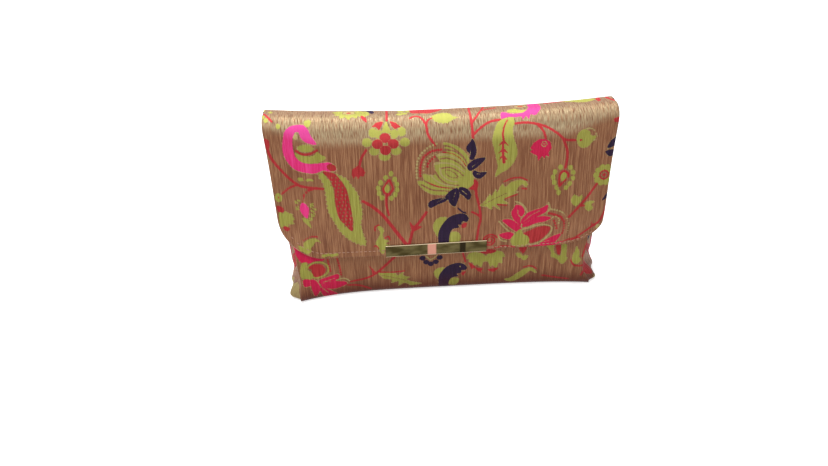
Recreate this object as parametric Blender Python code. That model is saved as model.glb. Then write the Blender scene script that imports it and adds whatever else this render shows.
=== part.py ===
# Flap clutch: woven cloth over card boards, with side gussets, a folding top and a polished bar on the flap.
# Metres, +Z up. The origin is on the floor under the middle of the base, and the flap faces -Y.

import math

import bmesh
import bpy
from mathutils import Matrix, Vector

# Overall form
BAG_WIDTH = 0.250
TOP_WIDTH = 0.260
BACK_WIDTH = 0.258
FRONT_WIDTH = 0.234
BAG_HEIGHT = 0.152
TOP_SAG = 0.005
MOUTH_HEIGHT = 0.129

# How far the outer faces lie from the middle plane: on the floor, at the fullest level and at the top
FRONT_BASE_DEPTH = 0.0120
FRONT_MID_DEPTH = 0.0200
FRONT_TOP_DEPTH = 0.0115
BACK_BASE_DEPTH = 0.0095
BACK_MID_DEPTH = 0.0160
BACK_TOP_DEPTH = 0.0125
BASE_ROUND = 0.0065
MID_LEVEL = 0.060

# The sides near the base: a waist in the front, corners that stand out below it, and a lean to the right
WAIST_LEVEL = 0.018
WAIST_REACH = 0.024
FRONT_WAIST_PULL = 0.0025
FRONT_CORNER_REACH = 0.0020
BACK_CORNER_PULL = 0.0030
FRONT_LEAN = 0.0030
BACK_LEAN = 0.0035
LEFT_CORNER_FLARE = 0.011
RIGHT_CORNER_FLARE = 0.005
SIDE_SLIM = 0.003

# Rounded folds at the top, and the space that the flap keeps from the front
BACK_FOLD_RADIUS = 0.008
FRONT_FOLD_RADIUS = 0.012
BACK_CREASE_ANGLE = 45.0
FRONT_CREASE_ANGLE = 135.0
FLAP_STANDOFF_TOP = 0.0056
FLAP_STANDOFF_SNAP = 0.0066
FLAP_STANDOFF_EDGE = 0.0057

# The flap's lower edge and its rounded corners
FLAP_EDGE_LEVEL = 0.040
FLAP_EDGE_SLOPE = 0.012
FLAP_CORNER_WIDTH = 0.034
LEFT_CORNER_RISE = 0.036
RIGHT_CORNER_RISE = 0.020

# Layers, from the outside in
CLOTH = 0.0008
BOARD = 0.0010
LINING = 0.0004
GAP = 0.0003
HEM_WIDTH = 0.009
SEAM_MARGIN = 0.009
FOLD_GAP = 0.0006

# Side gussets
GUSSET_FOLD_TOP = 0.015
GUSSET_FOLD_BASE = 0.003
GUSSET_TOP_DROP = 0.003
GUSSET_FULLNESS = 0.9
GUSSET_PLACES = (0.0, 0.12, 0.26, 0.40, 0.50, 0.60, 0.74, 0.88, 1.0)
SLOPE_STEP = 0.0015

# Polished bar that is clamped over the flap's edge
BAR_LENGTH = 0.080
BAR_FRONT_HEIGHT = 0.0098
BAR_BACK_HEIGHT = 0.0078
BAR_METAL = 0.0007
BAR_OFFSET = -0.006
BAR_BEND_RADIUS = 0.0004
SCREW_SPACING = 0.050
SCREW_SHANK_RADIUS = 0.0008
SCREW_HEAD_RADIUS = 0.0016
SCREW_HEAD_HEIGHT = 0.0004

# Magnetic snap: a socket on the front and a stud under the flap
SNAP_RADIUS = 0.0070
SNAP_METAL = 0.0003
SOCKET_HEIGHT = 0.0019
SOCKET_MOUTH_RADIUS = 0.0036
STUD_RADIUS = 0.0026
STUD_DISC = 0.0005
STUD_LENGTH = 0.0009
SNAP_CLEARANCE = 0.0002
LEG_WIDTH = 0.0030
LEG_METAL = 0.0003
LEG_SPREAD = 0.0034
LEG_BEND = 0.0026
WASHER_RADIUS = 0.0085
WASHER_METAL = 0.0003
BOARD_HOLE_RADIUS = 0.0100

# How finely the shapes are divided
CROSS_STEPS = 14
FACE_STEPS = 7
ROUND_STEPS = 4
FOLD_STEPS = 4
CORNER_STEPS = 5
TURN_STEPS = 22
COLUMN_BUNCHING = 1.35
LEAST_COLUMN_STEP = 0.01
HEM_POINTS_BEHIND = 3

BOARD_FROM = CLOTH + GAP
LINING_FROM = BOARD_FROM + BOARD + GAP
HEM_TO = LINING_FROM + CLOTH
FLAP_HEM_FROM = LINING_FROM + GAP / 3


def clear_scene():
    for old in list(bpy.data.objects):
        bpy.data.objects.remove(old)


def make_material(name, color, roughness, metallic=0.0):
    material = bpy.data.materials.new(name)
    material.use_nodes = True
    shader = material.node_tree.nodes["Principled BSDF"]
    shader.inputs["Base Color"].default_value = (*color, 1.0)
    shader.inputs["Roughness"].default_value = roughness
    shader.inputs["Metallic"].default_value = metallic
    return material


def blend(a, b, share):
    return a + (b - a) * share


def ease(share):
    share = min(1.0, max(0.0, share))
    return share * share * (3.0 - 2.0 * share)


def spaced(first, last, steps):
    return [blend(first, last, k / steps) for k in range(steps + 1)]


# Every point of the cloth is found from a share of the half width, -1 at the left edge and 1 at the right,
# and from a place on the profile in the YZ plane.


def bunched(share):
    """Moves evenly spaced shares towards the side edges, where the shape changes most."""
    return math.copysign(1.0 - (1.0 - abs(share)) ** COLUMN_BUNCHING, share)


def columns():
    return [bunched(share) for share in spaced(-1.0, 1.0, CROSS_STEPS)]


def corner_flare(share):
    reach = LEFT_CORNER_FLARE if share < 0 else RIGHT_CORNER_FLARE
    return reach * share**4


def face_depth(level, base, mid, top):
    """Distance of an outer face from the middle plane: a round bend off the base, then a soft swell."""
    low = base + BASE_ROUND
    if level < BASE_ROUND:
        drop = 1.0 - max(level, 0.0) / BASE_ROUND
        return base + BASE_ROUND * math.sqrt(max(0.0, 1.0 - drop * drop))
    if level < MID_LEVEL:
        return blend(low, mid, ease((level - BASE_ROUND) / (MID_LEVEL - BASE_ROUND)))
    return blend(mid, top, ease((level - MID_LEVEL) / (BAG_HEIGHT - MID_LEVEL)))


def front_depth(share, level):
    slim = SIDE_SLIM * share**4
    return face_depth(level, FRONT_BASE_DEPTH + corner_flare(share), FRONT_MID_DEPTH - slim, FRONT_TOP_DEPTH)


def back_depth(share, level):
    slim = SIDE_SLIM * share**4
    return face_depth(level, BACK_BASE_DEPTH, BACK_MID_DEPTH - slim, BACK_TOP_DEPTH)


def top_level(share):
    return BAG_HEIGHT - TOP_SAG * (1.0 - share * share)


def front_half_width(level):
    """The front is pulled in most at the waist, and comes out again at the corner below it."""
    if level < WAIST_LEVEL:
        return FRONT_WIDTH / 2 + blend(FRONT_CORNER_REACH, -FRONT_WAIST_PULL, ease(level / WAIST_LEVEL))
    return FRONT_WIDTH / 2 - FRONT_WAIST_PULL * (1.0 - ease((level - WAIST_LEVEL) / WAIST_REACH))


def back_half_width(level):
    wide = blend(BACK_WIDTH, TOP_WIDTH, level / BAG_HEIGHT) / 2
    return wide - BACK_CORNER_PULL * (1.0 - ease(level / WAIST_LEVEL))


def front_lean(level):
    """How far the front stands to the right of the middle: only its lower corners do."""
    return FRONT_LEAN * (1.0 - ease(level / WAIST_LEVEL))


def back_lean(level):
    return BACK_LEAN * (1.0 - ease(level / (BAG_HEIGHT - BACK_FOLD_RADIUS)))


def flap_half_width(level):
    """The flap widens a little from its lower edge to the top fold."""
    return blend(BAG_WIDTH, TOP_WIDTH, (level - FLAP_EDGE_LEVEL) / (BAG_HEIGHT - FLAP_EDGE_LEVEL)) / 2


def body_x(y, level, share):
    """Place across the body at a depth and height: the front is narrower than the back."""
    front, back = front_depth(share, level), back_depth(share, level)
    across = ease((y + front) / (front + back))
    half = blend(front_half_width(level), back_half_width(level), across)
    return share * half + blend(front_lean(level), back_lean(level), across)


def fold_centre_back(share):
    return BACK_TOP_DEPTH - BACK_FOLD_RADIUS, top_level(share) - BACK_FOLD_RADIUS


def fold_centre_front(share):
    return (
        -(FRONT_TOP_DEPTH + FLAP_STANDOFF_TOP - FRONT_FOLD_RADIUS),
        top_level(share) - FRONT_FOLD_RADIUS,
    )


def on_circle(centre, radius, degrees):
    turn = math.radians(degrees)
    return centre[0] + radius * math.cos(turn), centre[1] + radius * math.sin(turn)


def flap_depth(share, level):
    """The flap's outer face stands off the front, and straightens towards the top fold."""
    fold_level = top_level(share) - FRONT_FOLD_RADIUS
    up = ease((level - MID_LEVEL) / (fold_level - MID_LEVEL))
    bar_top = FLAP_EDGE_LEVEL + BAR_FRONT_HEIGHT
    near_snap = ease((level - bar_top) / (MID_LEVEL - bar_top))
    standoff = blend(FLAP_STANDOFF_EDGE, FLAP_STANDOFF_SNAP, near_snap)
    return blend(front_depth(share, level) + standoff, FRONT_TOP_DEPTH + FLAP_STANDOFF_TOP, up)


def path_directions(path):
    """Direction of a path at each of its points, carried on smoothly at its two ends."""
    points = [Vector(p) for p in path]
    runs = [(b - a).normalized() for a, b in zip(points, points[1:])]
    inner = [(a + b).normalized() for a, b in zip(runs, runs[1:])]
    if not inner:
        return runs * 2
    first = (3.0 * runs[0] - runs[1]).normalized()
    last = (3.0 * runs[-1] - runs[-2]).normalized()
    return [first] + inner + [last]


def push_in(path, depth):
    """The path moved inwards by depth. Every path runs with the bag's inside on its left."""
    return [(a - along.y * depth, b + along.x * depth) for (a, b), along in zip(path, path_directions(path))]


def face_levels(top, bottom=0.0):
    """Heights down a face. Every layer takes its heights from one list, so that the layers stay parallel."""
    upper = spaced(BAG_HEIGHT - BACK_FOLD_RADIUS, BASE_ROUND, FACE_STEPS)
    lower = [BASE_ROUND * (1.0 - math.sin(math.radians(a))) for a in spaced(0.0, 90.0, ROUND_STEPS)]
    shared = upper + lower[1:-1]
    return [top] + [z for z in shared if bottom + GAP / 2 < z < top - CLOTH] + [bottom]


def front_path(share, top, bottom=0.0):
    """Outer face from the given height down to the edge of the flat base."""
    return [(-front_depth(share, level), level) for level in face_levels(top, bottom)]


def back_path(share, top, bottom=0.0):
    """Outer face from the edge of the flat base up to the given height."""
    return [(back_depth(share, level), level) for level in reversed(face_levels(top, bottom))]


def body_path(share, front_top, back_top):
    return front_path(share, front_top) + back_path(share, back_top)


def back_fold_path(share, first, last):
    centre = fold_centre_back(share)
    return [on_circle(centre, BACK_FOLD_RADIUS, a) for a in spaced(first, last, FOLD_STEPS)]


def front_fold_path(share, first, last):
    centre = fold_centre_front(share)
    return [on_circle(centre, FRONT_FOLD_RADIUS, a) for a in spaced(first, last, FOLD_STEPS)]


def degrees_of(length, radius):
    return math.degrees(length / radius)


def place_body(share, point):
    y, z = point
    return Vector((body_x(y, z, share), y, z))


def place_flap(share, point):
    y, z = point
    return Vector((share * flap_half_width(z), y, z))


def reversed_faces(faces):
    return [tuple(reversed(face)) for face in faces]


def grid_faces(rows, cols, start=0):
    """Triangles over a grid, all cut along one diagonal, so that the layers of a wall stay parallel."""
    faces = []
    for r in range(rows - 1):
        for c in range(cols - 1):
            a = start + r * cols + c
            faces.append((a, a + 1, a + cols + 1))
            faces.append((a, a + cols + 1, a + cols))
    return faces


def border(rows, cols, start=0):
    """Indices round the edge of a grid, in order."""
    top = [start + c for c in range(cols)]
    right = [start + r * cols + cols - 1 for r in range(1, rows)]
    bottom = [start + (rows - 1) * cols + c for c in range(cols - 2, -1, -1)]
    left = [start + r * cols for r in range(rows - 2, 0, -1)]
    return top + right + bottom + left


def thick_sheet(outer, inner):
    """Closed solid between two grids of points of the same size."""
    rows, cols = len(outer), len(outer[0])
    points = [p for row in outer for p in row] + [p for row in inner for p in row]
    half = rows * cols
    faces = grid_faces(rows, cols) + reversed_faces(grid_faces(rows, cols, half))
    edge = border(rows, cols)
    for k, a in enumerate(edge):
        b = edge[(k + 1) % len(edge)]
        faces.append((b, a, a + half))
        faces.append((b, a + half, b + half))
    return points, faces


def add_object(name, points, faces, material, carrier=None, smooth_angle=35.0):
    """A named object from points in the bag's own frame. On a carrier its origin is on the carrier's axis."""
    origin = carrier.matrix_world.translation if carrier else Vector((0.0, 0.0, 0.0))
    mesh = bpy.data.meshes.new(name)
    mesh.from_pydata([Vector(p) - origin for p in points], [], faces)
    work = bmesh.new()
    work.from_mesh(mesh)
    bmesh.ops.recalc_face_normals(work, faces=work.faces)
    if work.calc_volume(signed=True) < 0.0:
        bmesh.ops.reverse_faces(work, faces=work.faces)
    work.to_mesh(mesh)
    work.free()
    mesh.shade_smooth()
    mesh.set_sharp_from_angle(angle=math.radians(smooth_angle))
    mesh.materials.append(material)
    made = bpy.data.objects.new(name, mesh)
    bpy.context.scene.collection.objects.link(made)
    if carrier:
        made.parent = carrier
    return made


def add_axis(name, position, carrier=None):
    """An empty on a fold line, which carries the pieces that turn about it."""
    axis = bpy.data.objects.new(name, None)
    bpy.context.scene.collection.objects.link(axis)
    if carrier:
        axis.parent = carrier
        position = position - carrier.matrix_world.translation
    axis.location = position
    bpy.context.view_layer.update()
    return axis


def cut_from(target, cutter):
    """Cuts the cutter's shape out of the target and keeps the cutter as a hidden guide."""
    cutter.hide_render = True
    cutter.display_type = "WIRE"
    modifier = target.modifiers.new("cut " + cutter.name, "BOOLEAN")
    modifier.operation = "DIFFERENCE"
    modifier.object = cutter


def join_to(target, piece):
    """Fuses the piece to the target, so that both are one solid."""
    piece.hide_render = True
    piece.display_type = "WIRE"
    modifier = target.modifiers.new("join " + piece.name, "BOOLEAN")
    modifier.operation = "UNION"
    modifier.object = piece


def sheet_between(name, paths, place, first, last, material, carrier=None):
    """A sheet that follows one profile for each column, between two depths below its outer face."""
    outer, inner = [], []
    for share, path in paths:
        outer.append([place(share, p) for p in push_in(path, first)])
        inner.append([place(share, p) for p in push_in(path, last)])
    points, faces = thick_sheet(outer, inner)
    return add_object(name, points, faces, material, carrier)


def inset_columns(margin, half):
    """The cloth's own columns inside a side margin, with one column on each margin line."""
    reach = 1.0 - margin / half
    return [-reach] + [share for share in columns() if abs(share) < reach - LEAST_COLUMN_STEP] + [reach]


# The body: one cloth from the mouth hem, down the front, under the base and up the back


def body_cloth_lines(share):
    """Outer and inner line of the body cloth below its hem."""
    face = front_path(share, MOUTH_HEIGHT) + back_path(share, top_level(share) - BACK_FOLD_RADIUS)
    half_gap = degrees_of(FOLD_GAP / 2, BACK_FOLD_RADIUS)
    face = face + back_fold_path(share, 0.0, BACK_CREASE_ANGLE - half_gap)[1:]
    inner = push_in(face, CLOTH)
    return face[1:], inner[1:]


def hem_lines(share):
    """Outer and inner line of the hem, which is turned in over the front board."""
    mouth = -front_depth(share, MOUTH_HEIGHT)
    hem_end = MOUTH_HEIGHT - HEM_WIDTH
    turned_in = [
        (mouth + HEM_TO, hem_end),
        (mouth + HEM_TO, MOUTH_HEIGHT - CLOTH / 2),
        (mouth + HEM_TO - CLOTH / 2, MOUTH_HEIGHT),
        (mouth + CLOTH / 2, MOUTH_HEIGHT),
        (mouth, MOUTH_HEIGHT - CLOTH / 2),
    ]
    under = [
        (mouth + LINING_FROM, hem_end),
        (mouth + LINING_FROM, MOUTH_HEIGHT - CLOTH - GAP / 2),
        (mouth + LINING_FROM - GAP / 2, MOUTH_HEIGHT - CLOTH),
        (mouth + CLOTH + GAP / 2, MOUTH_HEIGHT - CLOTH),
        (mouth + CLOTH, MOUTH_HEIGHT - CLOTH - GAP / 2),
    ]
    return turned_in, under


def build_body_cloth(material):
    reach = 1.0 - SEAM_MARGIN / (FRONT_WIDTH / 2)
    outer, inner = [], []
    for share in columns():
        hem_faces = hem_lines(share)
        for grid, hem, face in zip((outer, inner), hem_faces, body_cloth_lines(share)):
            behind = [place_body(share * reach, p) for p in hem[:HEM_POINTS_BEHIND]]
            over = [place_body(share, p) for p in hem[HEM_POINTS_BEHIND:] + face]
            grid.append(behind + over)
    points, faces = thick_sheet(outer, inner)
    return add_object("body_cloth", points, faces, material)


def build_front_board(material):
    top = MOUTH_HEIGHT - CLOTH - GAP
    shares = inset_columns(SEAM_MARGIN, FRONT_WIDTH / 2)
    paths = [(s, front_path(s, top, BASE_ROUND)) for s in shares]
    return sheet_between("front_board", paths, place_body, BOARD_FROM, BOARD_FROM + BOARD, material)


def build_back_board(material):
    shares = inset_columns(SEAM_MARGIN, BAG_WIDTH / 2)
    top = BAG_HEIGHT - TOP_SAG - BACK_FOLD_RADIUS - GAP
    paths = [(s, back_path(s, top, BASE_ROUND)) for s in shares]
    return sheet_between("back_board", paths, place_body, BOARD_FROM, BOARD_FROM + BOARD, material)


def build_base_board(material):
    """A narrow strip of card that keeps the base flat."""
    half = FRONT_WIDTH / 2 - SEAM_MARGIN
    edges = (-FRONT_BASE_DEPTH, BACK_BASE_DEPTH)
    outer = [[Vector((x, y, BOARD_FROM)) for y in edges] for x in (-half, half)]
    inner = [[Vector((x, y, BOARD_FROM + BOARD)) for y in edges] for x in (-half, half)]
    points, faces = thick_sheet(outer, inner)
    return add_object("base_board", points, faces, material)


def build_body_lining(material):
    """The lining follows the front, the base and the back inside the boards, below the hem."""
    shares = inset_columns(SEAM_MARGIN, FRONT_WIDTH / 2)
    front_top = MOUTH_HEIGHT - HEM_WIDTH - GAP
    back_top = BAG_HEIGHT - TOP_SAG - BACK_FOLD_RADIUS - GAP
    paths = [(s, body_path(s, front_top, back_top)) for s in shares]
    return sheet_between("body_lining", paths, place_body, LINING_FROM, LINING_FROM + LINING, material)


# Side gussets: a valley fold between the front's edge and the back's edge


def height_on(path, level):
    """Where a path, which runs in one direction of height, crosses a level."""
    points = sorted(path, key=lambda point: point[1])
    for (y_low, z_low), (y_high, z_high) in zip(points, points[1:]):
        if level <= z_high:
            return blend(y_low, y_high, max(0.0, (level - z_low) / (z_high - z_low)))
    return points[-1][0]


def gusset_reach(side, y, level, seams):
    """Distance of a gusset's outer face from the middle, and how steeply the fold runs there."""
    front, back = (height_on(seam, level) for seam in seams)
    fold = blend(GUSSET_FOLD_BASE, GUSSET_FOLD_TOP, ease(level / MID_LEVEL))

    def reach(place):
        across = min(max((place - front) / (back - front), 0.0), 1.0)
        edge = blend(front_half_width(level), back_half_width(level), across) - GAP
        return edge - fold * math.sin(math.pi * across) ** GUSSET_FULLNESS if 0.0 < across < 1.0 else edge

    slope = (reach(y + SLOPE_STEP) - reach(y - SLOPE_STEP)) / (2 * SLOPE_STEP)
    return reach(y), math.hypot(1.0, slope)


def gusset_layer(side, depth, top, bottom):
    """Grid of points at a depth below a gusset's outer face, inside the front and back cloth."""
    seams = [push_in(line(side, MOUTH_HEIGHT), BOARD_FROM) for line in (front_path, back_path)]
    front = push_in(front_path(side, top, bottom), BOARD_FROM + depth)
    back = list(reversed(push_in(back_path(side, top, bottom), BOARD_FROM + depth)))
    grid = []
    for front_point, back_point in zip(front, back):
        row = []
        for across in GUSSET_PLACES:
            y, level = (blend(a, b, across) for a, b in zip(front_point, back_point))
            reach, steepness = gusset_reach(side, y, level, seams)
            lean = blend(front_lean(level), back_lean(level), across)
            row.append(Vector((side * (reach - depth * steepness) + lean, y, level)))
        grid.append(row)
    return grid


def build_gusset(name, side, first, last, top, bottom, material):
    outer = gusset_layer(side, first, top, bottom)
    inner = gusset_layer(side, last, top, bottom)
    points, faces = thick_sheet(outer, inner)
    return add_object(name, points, faces, material, smooth_angle=60.0)


# The top: a strip that bridges the mouth between the two fold lines


def spine_path(share):
    back_gap = degrees_of(FOLD_GAP / 2, BACK_FOLD_RADIUS)
    front_gap = degrees_of(FOLD_GAP / 2, FRONT_FOLD_RADIUS)
    over_back = back_fold_path(share, BACK_CREASE_ANGLE + back_gap, 90.0)
    over_front = front_fold_path(share, 90.0, FRONT_CREASE_ANGLE - front_gap)
    return over_back + over_front


def spine_columns(margin):
    return inset_columns(margin, BAG_WIDTH / 2)


def build_spine(name, first, last, margin, material, carrier):
    paths = [(s, spine_path(s)) for s in spine_columns(margin)]
    return sheet_between(name, paths, place_flap, first, last, material, carrier)


# The flap: cloth turned round a board, with a lining inside the turned hem


def flap_shares(inset):
    """Column places across the flap: close together round the lower corners."""
    half = BAG_WIDTH / 2
    corner = FLAP_CORNER_WIDTH - inset
    straight = half - FLAP_CORNER_WIDTH
    turns = [math.sin(math.radians(a)) for a in spaced(0.0, 90.0, CORNER_STEPS)]
    right = [straight + corner * turn for turn in turns]
    middle = spaced(-straight, straight, CROSS_STEPS // 2)
    return [-x for x in reversed(right)] + middle[1:-1] + right


def flap_edge(x, inset):
    """Height of the flap's lower edge at a place across it."""
    corner = FLAP_CORNER_WIDTH - inset
    past = min(1.0, max(0.0, (abs(x) - (BAG_WIDTH / 2 - FLAP_CORNER_WIDTH)) / corner))
    rise = (LEFT_CORNER_RISE if x < 0 else RIGHT_CORNER_RISE) - inset
    straight = FLAP_EDGE_LEVEL + FLAP_EDGE_SLOPE * x + inset
    return straight + rise * (1.0 - math.sqrt(max(0.0, 1.0 - past * past)))


def flap_profile(share, edge):
    front_gap = degrees_of(FOLD_GAP / 2, FRONT_FOLD_RADIUS)
    fold = front_fold_path(share, FRONT_CREASE_ANGLE + front_gap, 180.0)
    fold_level = top_level(share) - FRONT_FOLD_RADIUS
    levels = spaced(fold_level, edge, FACE_STEPS + 2)
    return fold + [(-flap_depth(share, level), level) for level in levels[1:]]


def flap_grid(inset, depth):
    """Columns of points at a depth below the flap's outer face, for a flap drawn in by inset at its edges."""
    grid = []
    for x in flap_shares(inset):
        share = x / (BAG_WIDTH / 2)
        path = push_in(flap_profile(share, flap_edge(x, inset)), depth)
        grid.append([place_flap(share, p) for p in path])
    return grid


def hem_loop(grid):
    """The grid's edge from the top of the left side, round the lower edge, to the top of the right side."""
    lower = [column[-1] for column in grid[1:-1]]
    return list(grid[0]) + lower + list(reversed(grid[-1]))


def build_flap_cloth(material, carrier):
    outer = flap_grid(0.0, 0.0)
    inner = flap_grid(CLOTH, CLOTH)
    loops = [
        hem_loop(flap_grid(0.0, HEM_TO)),
        hem_loop(flap_grid(HEM_WIDTH, HEM_TO)),
        hem_loop(flap_grid(HEM_WIDTH, FLAP_HEM_FROM)),
        hem_loop(flap_grid(CLOTH, FLAP_HEM_FROM)),
    ]
    cols, rows = len(outer), len(outer[0])
    points = [p for column in outer for p in column] + [p for column in inner for p in column]
    faces = grid_faces(cols, rows) + reversed_faces(grid_faces(cols, rows, cols * rows))

    def edge_of(start):
        left = [start + r for r in range(rows)]
        lower = [start + c * rows + rows - 1 for c in range(1, cols - 1)]
        right = [start + (cols - 1) * rows + r for r in range(rows - 1, -1, -1)]
        return left + lower + right

    chain = [edge_of(0)]
    for loop in loops:
        start = len(points)
        points.extend(loop)
        chain.append(list(range(start, start + len(loop))))
    chain.append(edge_of(cols * rows))
    for near, far in zip(chain, chain[1:]):
        for k in range(len(near) - 1):
            faces.append((near[k], near[k + 1], far[k + 1], far[k]))
    for c in range(cols - 1):
        a, b = c * rows, (c + 1) * rows
        faces.append((a, b, b + cols * rows, a + cols * rows))
    for end in (0, -1):
        outside, rim, lip, lip_in, rim_in, inside = (loop[end] for loop in chain)
        faces.append((outside, rim, rim_in, inside))
        faces.append((rim, lip, lip_in, rim_in))
    return add_object("flap_cloth", points, faces, material, carrier)


def build_flap_board(material, carrier):
    inset = CLOTH + GAP
    below_fold = FOLD_STEPS
    outer = [column[below_fold:] for column in flap_grid(inset, BOARD_FROM)]
    inner = [column[below_fold:] for column in flap_grid(inset, BOARD_FROM + BOARD)]
    points, faces = thick_sheet(outer, inner)
    return add_object("flap_board", points, faces, material, carrier)


def build_flap_lining(material, carrier):
    inset = HEM_WIDTH + GAP
    outer = flap_grid(inset, LINING_FROM)
    inner = flap_grid(inset, LINING_FROM + LINING)
    points, faces = thick_sheet(outer, inner)
    return add_object("flap_lining", points, faces, material, carrier)


# The polished bar


def flap_lean(share, low, high):
    """Angle of the flap's face from upright between two heights, positive where it leans out upwards."""
    return math.atan2(flap_depth(share, high) - flap_depth(share, low), high - low)


def bar_frame():
    """Place and turn of the bar: its own Z runs up the flap and its own Y runs into the flap."""
    share = BAR_OFFSET / (BAG_WIDTH / 2)
    lean = flap_lean(share, FLAP_EDGE_LEVEL, FLAP_EDGE_LEVEL + BAR_FRONT_HEIGHT)
    low = FLAP_EDGE_LEVEL + FLAP_EDGE_SLOPE * BAR_OFFSET
    place = Matrix.Translation((BAR_OFFSET, -flap_depth(share, low), low))
    slope = Matrix.Rotation(-math.atan(FLAP_EDGE_SLOPE), 4, "Y")
    return place @ slope @ Matrix.Rotation(lean, 4, "X")


def bar_section():
    """Outline of the folded bar in its own YZ plane, with round bends. The flap's outer face is at y 0."""
    inner_front, inner_back = -GAP, HEM_TO + GAP
    floor = -GAP
    bend, metal = BAR_BEND_RADIUS, BAR_METAL
    inside = (inner_front, inner_back, floor, bend)
    outside = (inner_front - metal, inner_back + metal, floor - metal, bend + metal)
    lines = []
    for front, back, low, radius in (inside, outside):
        front_bend, back_bend = (front + radius, low + radius), (back - radius, low + radius)
        left = [on_circle(front_bend, radius, a) for a in spaced(180.0, 270.0, ROUND_STEPS)]
        right = [on_circle(back_bend, radius, a) for a in spaced(270.0, 360.0, ROUND_STEPS)]
        lines.append([(front, BAR_FRONT_HEIGHT), *left, *right, (back, BAR_BACK_HEIGHT)])
    return lines


def build_bar(material, carrier):
    inner, outer = bar_section()
    frame = bar_frame()
    ends = (-BAR_LENGTH / 2, BAR_LENGTH / 2)
    outer_grid = [[frame @ Vector((x, y, z)) for y, z in outer] for x in ends]
    inner_grid = [[frame @ Vector((x, y, z)) for y, z in inner] for x in ends]
    points, faces = thick_sheet(outer_grid, inner_grid)
    return add_object("trim_bar", points, faces, material, carrier)


def turned(profile, steps=TURN_STEPS):
    """A closed solid turned about Y from (radius, y) pairs, which end on the axis or close on themselves."""
    on_axis = profile[0][0] == 0.0
    points, rings = [], []
    for radius, y in profile:
        if radius == 0.0:
            rings.append([len(points)])
            points.append(Vector((0.0, y, 0.0)))
            continue
        ring = []
        for k in range(steps):
            turn = 2 * math.pi * k / steps
            ring.append(len(points))
            points.append(Vector((radius * math.cos(turn), y, radius * math.sin(turn))))
        rings.append(ring)
    pairs = list(zip(rings, rings[1:]))
    if not on_axis:
        pairs.append((rings[-1], rings[0]))
    faces = []
    for near, far in pairs:
        for k in range(steps):
            after = (k + 1) % steps
            if len(near) == 1:
                faces.append((near[0], far[after], far[k]))
            elif len(far) == 1:
                faces.append((near[k], near[after], far[0]))
            else:
                faces.append((near[k], near[after], far[after], far[k]))
    return points, faces


def box_points(low, high):
    (x0, y0, z0), (x1, y1, z1) = low, high
    points = [Vector((x, y, z)) for x in (x0, x1) for y in (y0, y1) for z in (z0, z1)]
    faces = [(0, 1, 3, 2), (4, 6, 7, 5), (0, 4, 5, 1), (2, 3, 7, 6), (0, 2, 6, 4), (1, 5, 7, 3)]
    return points, faces


def build_bar_screws(material, bar, carrier):
    """Two small screws in the bar's back plate that grip the hem."""
    frame = bar_frame()
    plate_in = HEM_TO + GAP
    plate_out = plate_in + BAR_METAL
    height = BAR_BACK_HEIGHT / 2
    head_from = plate_out + GAP / 2
    profile = [
        (0.0, plate_in),
        (SCREW_SHANK_RADIUS, plate_in),
        (SCREW_SHANK_RADIUS, head_from),
        (SCREW_HEAD_RADIUS, head_from),
        (SCREW_HEAD_RADIUS, head_from + SCREW_HEAD_HEIGHT / 2),
        (SCREW_HEAD_RADIUS / 2, head_from + SCREW_HEAD_HEIGHT),
        (0.0, head_from + SCREW_HEAD_HEIGHT),
    ]
    hole_radius = SCREW_SHANK_RADIUS + GAP / 2
    hole = [(0.0, plate_in - BAR_METAL), (hole_radius, plate_in - BAR_METAL)]
    hole = hole + [(hole_radius, plate_out + BAR_METAL), (0.0, plate_out + BAR_METAL)]
    steps = TURN_STEPS // 2
    for side, word in ((-1, "left"), (1, "right")):
        place = frame @ Matrix.Translation((side * SCREW_SPACING / 2, 0.0, height))
        screw_points, screw_faces = turned(profile, steps)
        add_object(f"{word}_bar_screw", [place @ p for p in screw_points], screw_faces, material, carrier)
        hole_points, hole_faces = turned(hole, steps)
        hole_points = [place @ p for p in hole_points]
        cutter = add_object(f"{word}_screw_hole", hole_points, hole_faces, material, carrier)
        cut_from(bar, cutter)


# The magnetic snap. Each half is built about its own Y axis with its cloth face at y 0, then placed.


def snap_depths(depth_at, radius):
    """Least and greatest depth of a face within a radius of the snap's middle."""
    share = BAR_OFFSET / (BAG_WIDTH / 2)
    depths = [depth_at(share, MID_LEVEL + side * radius) for side in (-1, 0, 1)]
    return min(depths), max(depths)


def leg_boxes(start, through, side):
    """One leg of a snap half: a strip through the cloth, and its end bent flat behind the washer."""
    x = side * LEG_SPREAD
    bent = sorted((x - side * LEG_METAL / 2, x + side * LEG_BEND))
    half = LEG_WIDTH / 2
    bend_inset = LEG_METAL / 10
    along = 1.0 if through > start else -1.0
    strip_y = sorted((start - along * SNAP_METAL / 2, through))
    bend_y = sorted((through - along * LEG_METAL, through))
    strip = box_points((x - LEG_METAL / 2, strip_y[0], -half), (x + LEG_METAL / 2, strip_y[1], half))
    bend = box_points((bent[0], bend_y[0], -half + bend_inset), (bent[1], bend_y[1], half - bend_inset))
    return strip, bend


def add_legs(target, place, start, through, material, carrier):
    for side in (-1, 1):
        for k, (points, faces) in enumerate(leg_boxes(start, through, side)):
            name = f"{target.name}_leg_{side + 1}_{k}"
            piece = add_object(name, [place @ p for p in points], faces, material, carrier)
            join_to(target, piece)


def washer_profile(from_y, to_y, hole_radius):
    return [
        (hole_radius, from_y),
        (WASHER_RADIUS, from_y),
        (WASHER_RADIUS, to_y),
        (hole_radius, to_y),
    ]


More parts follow.
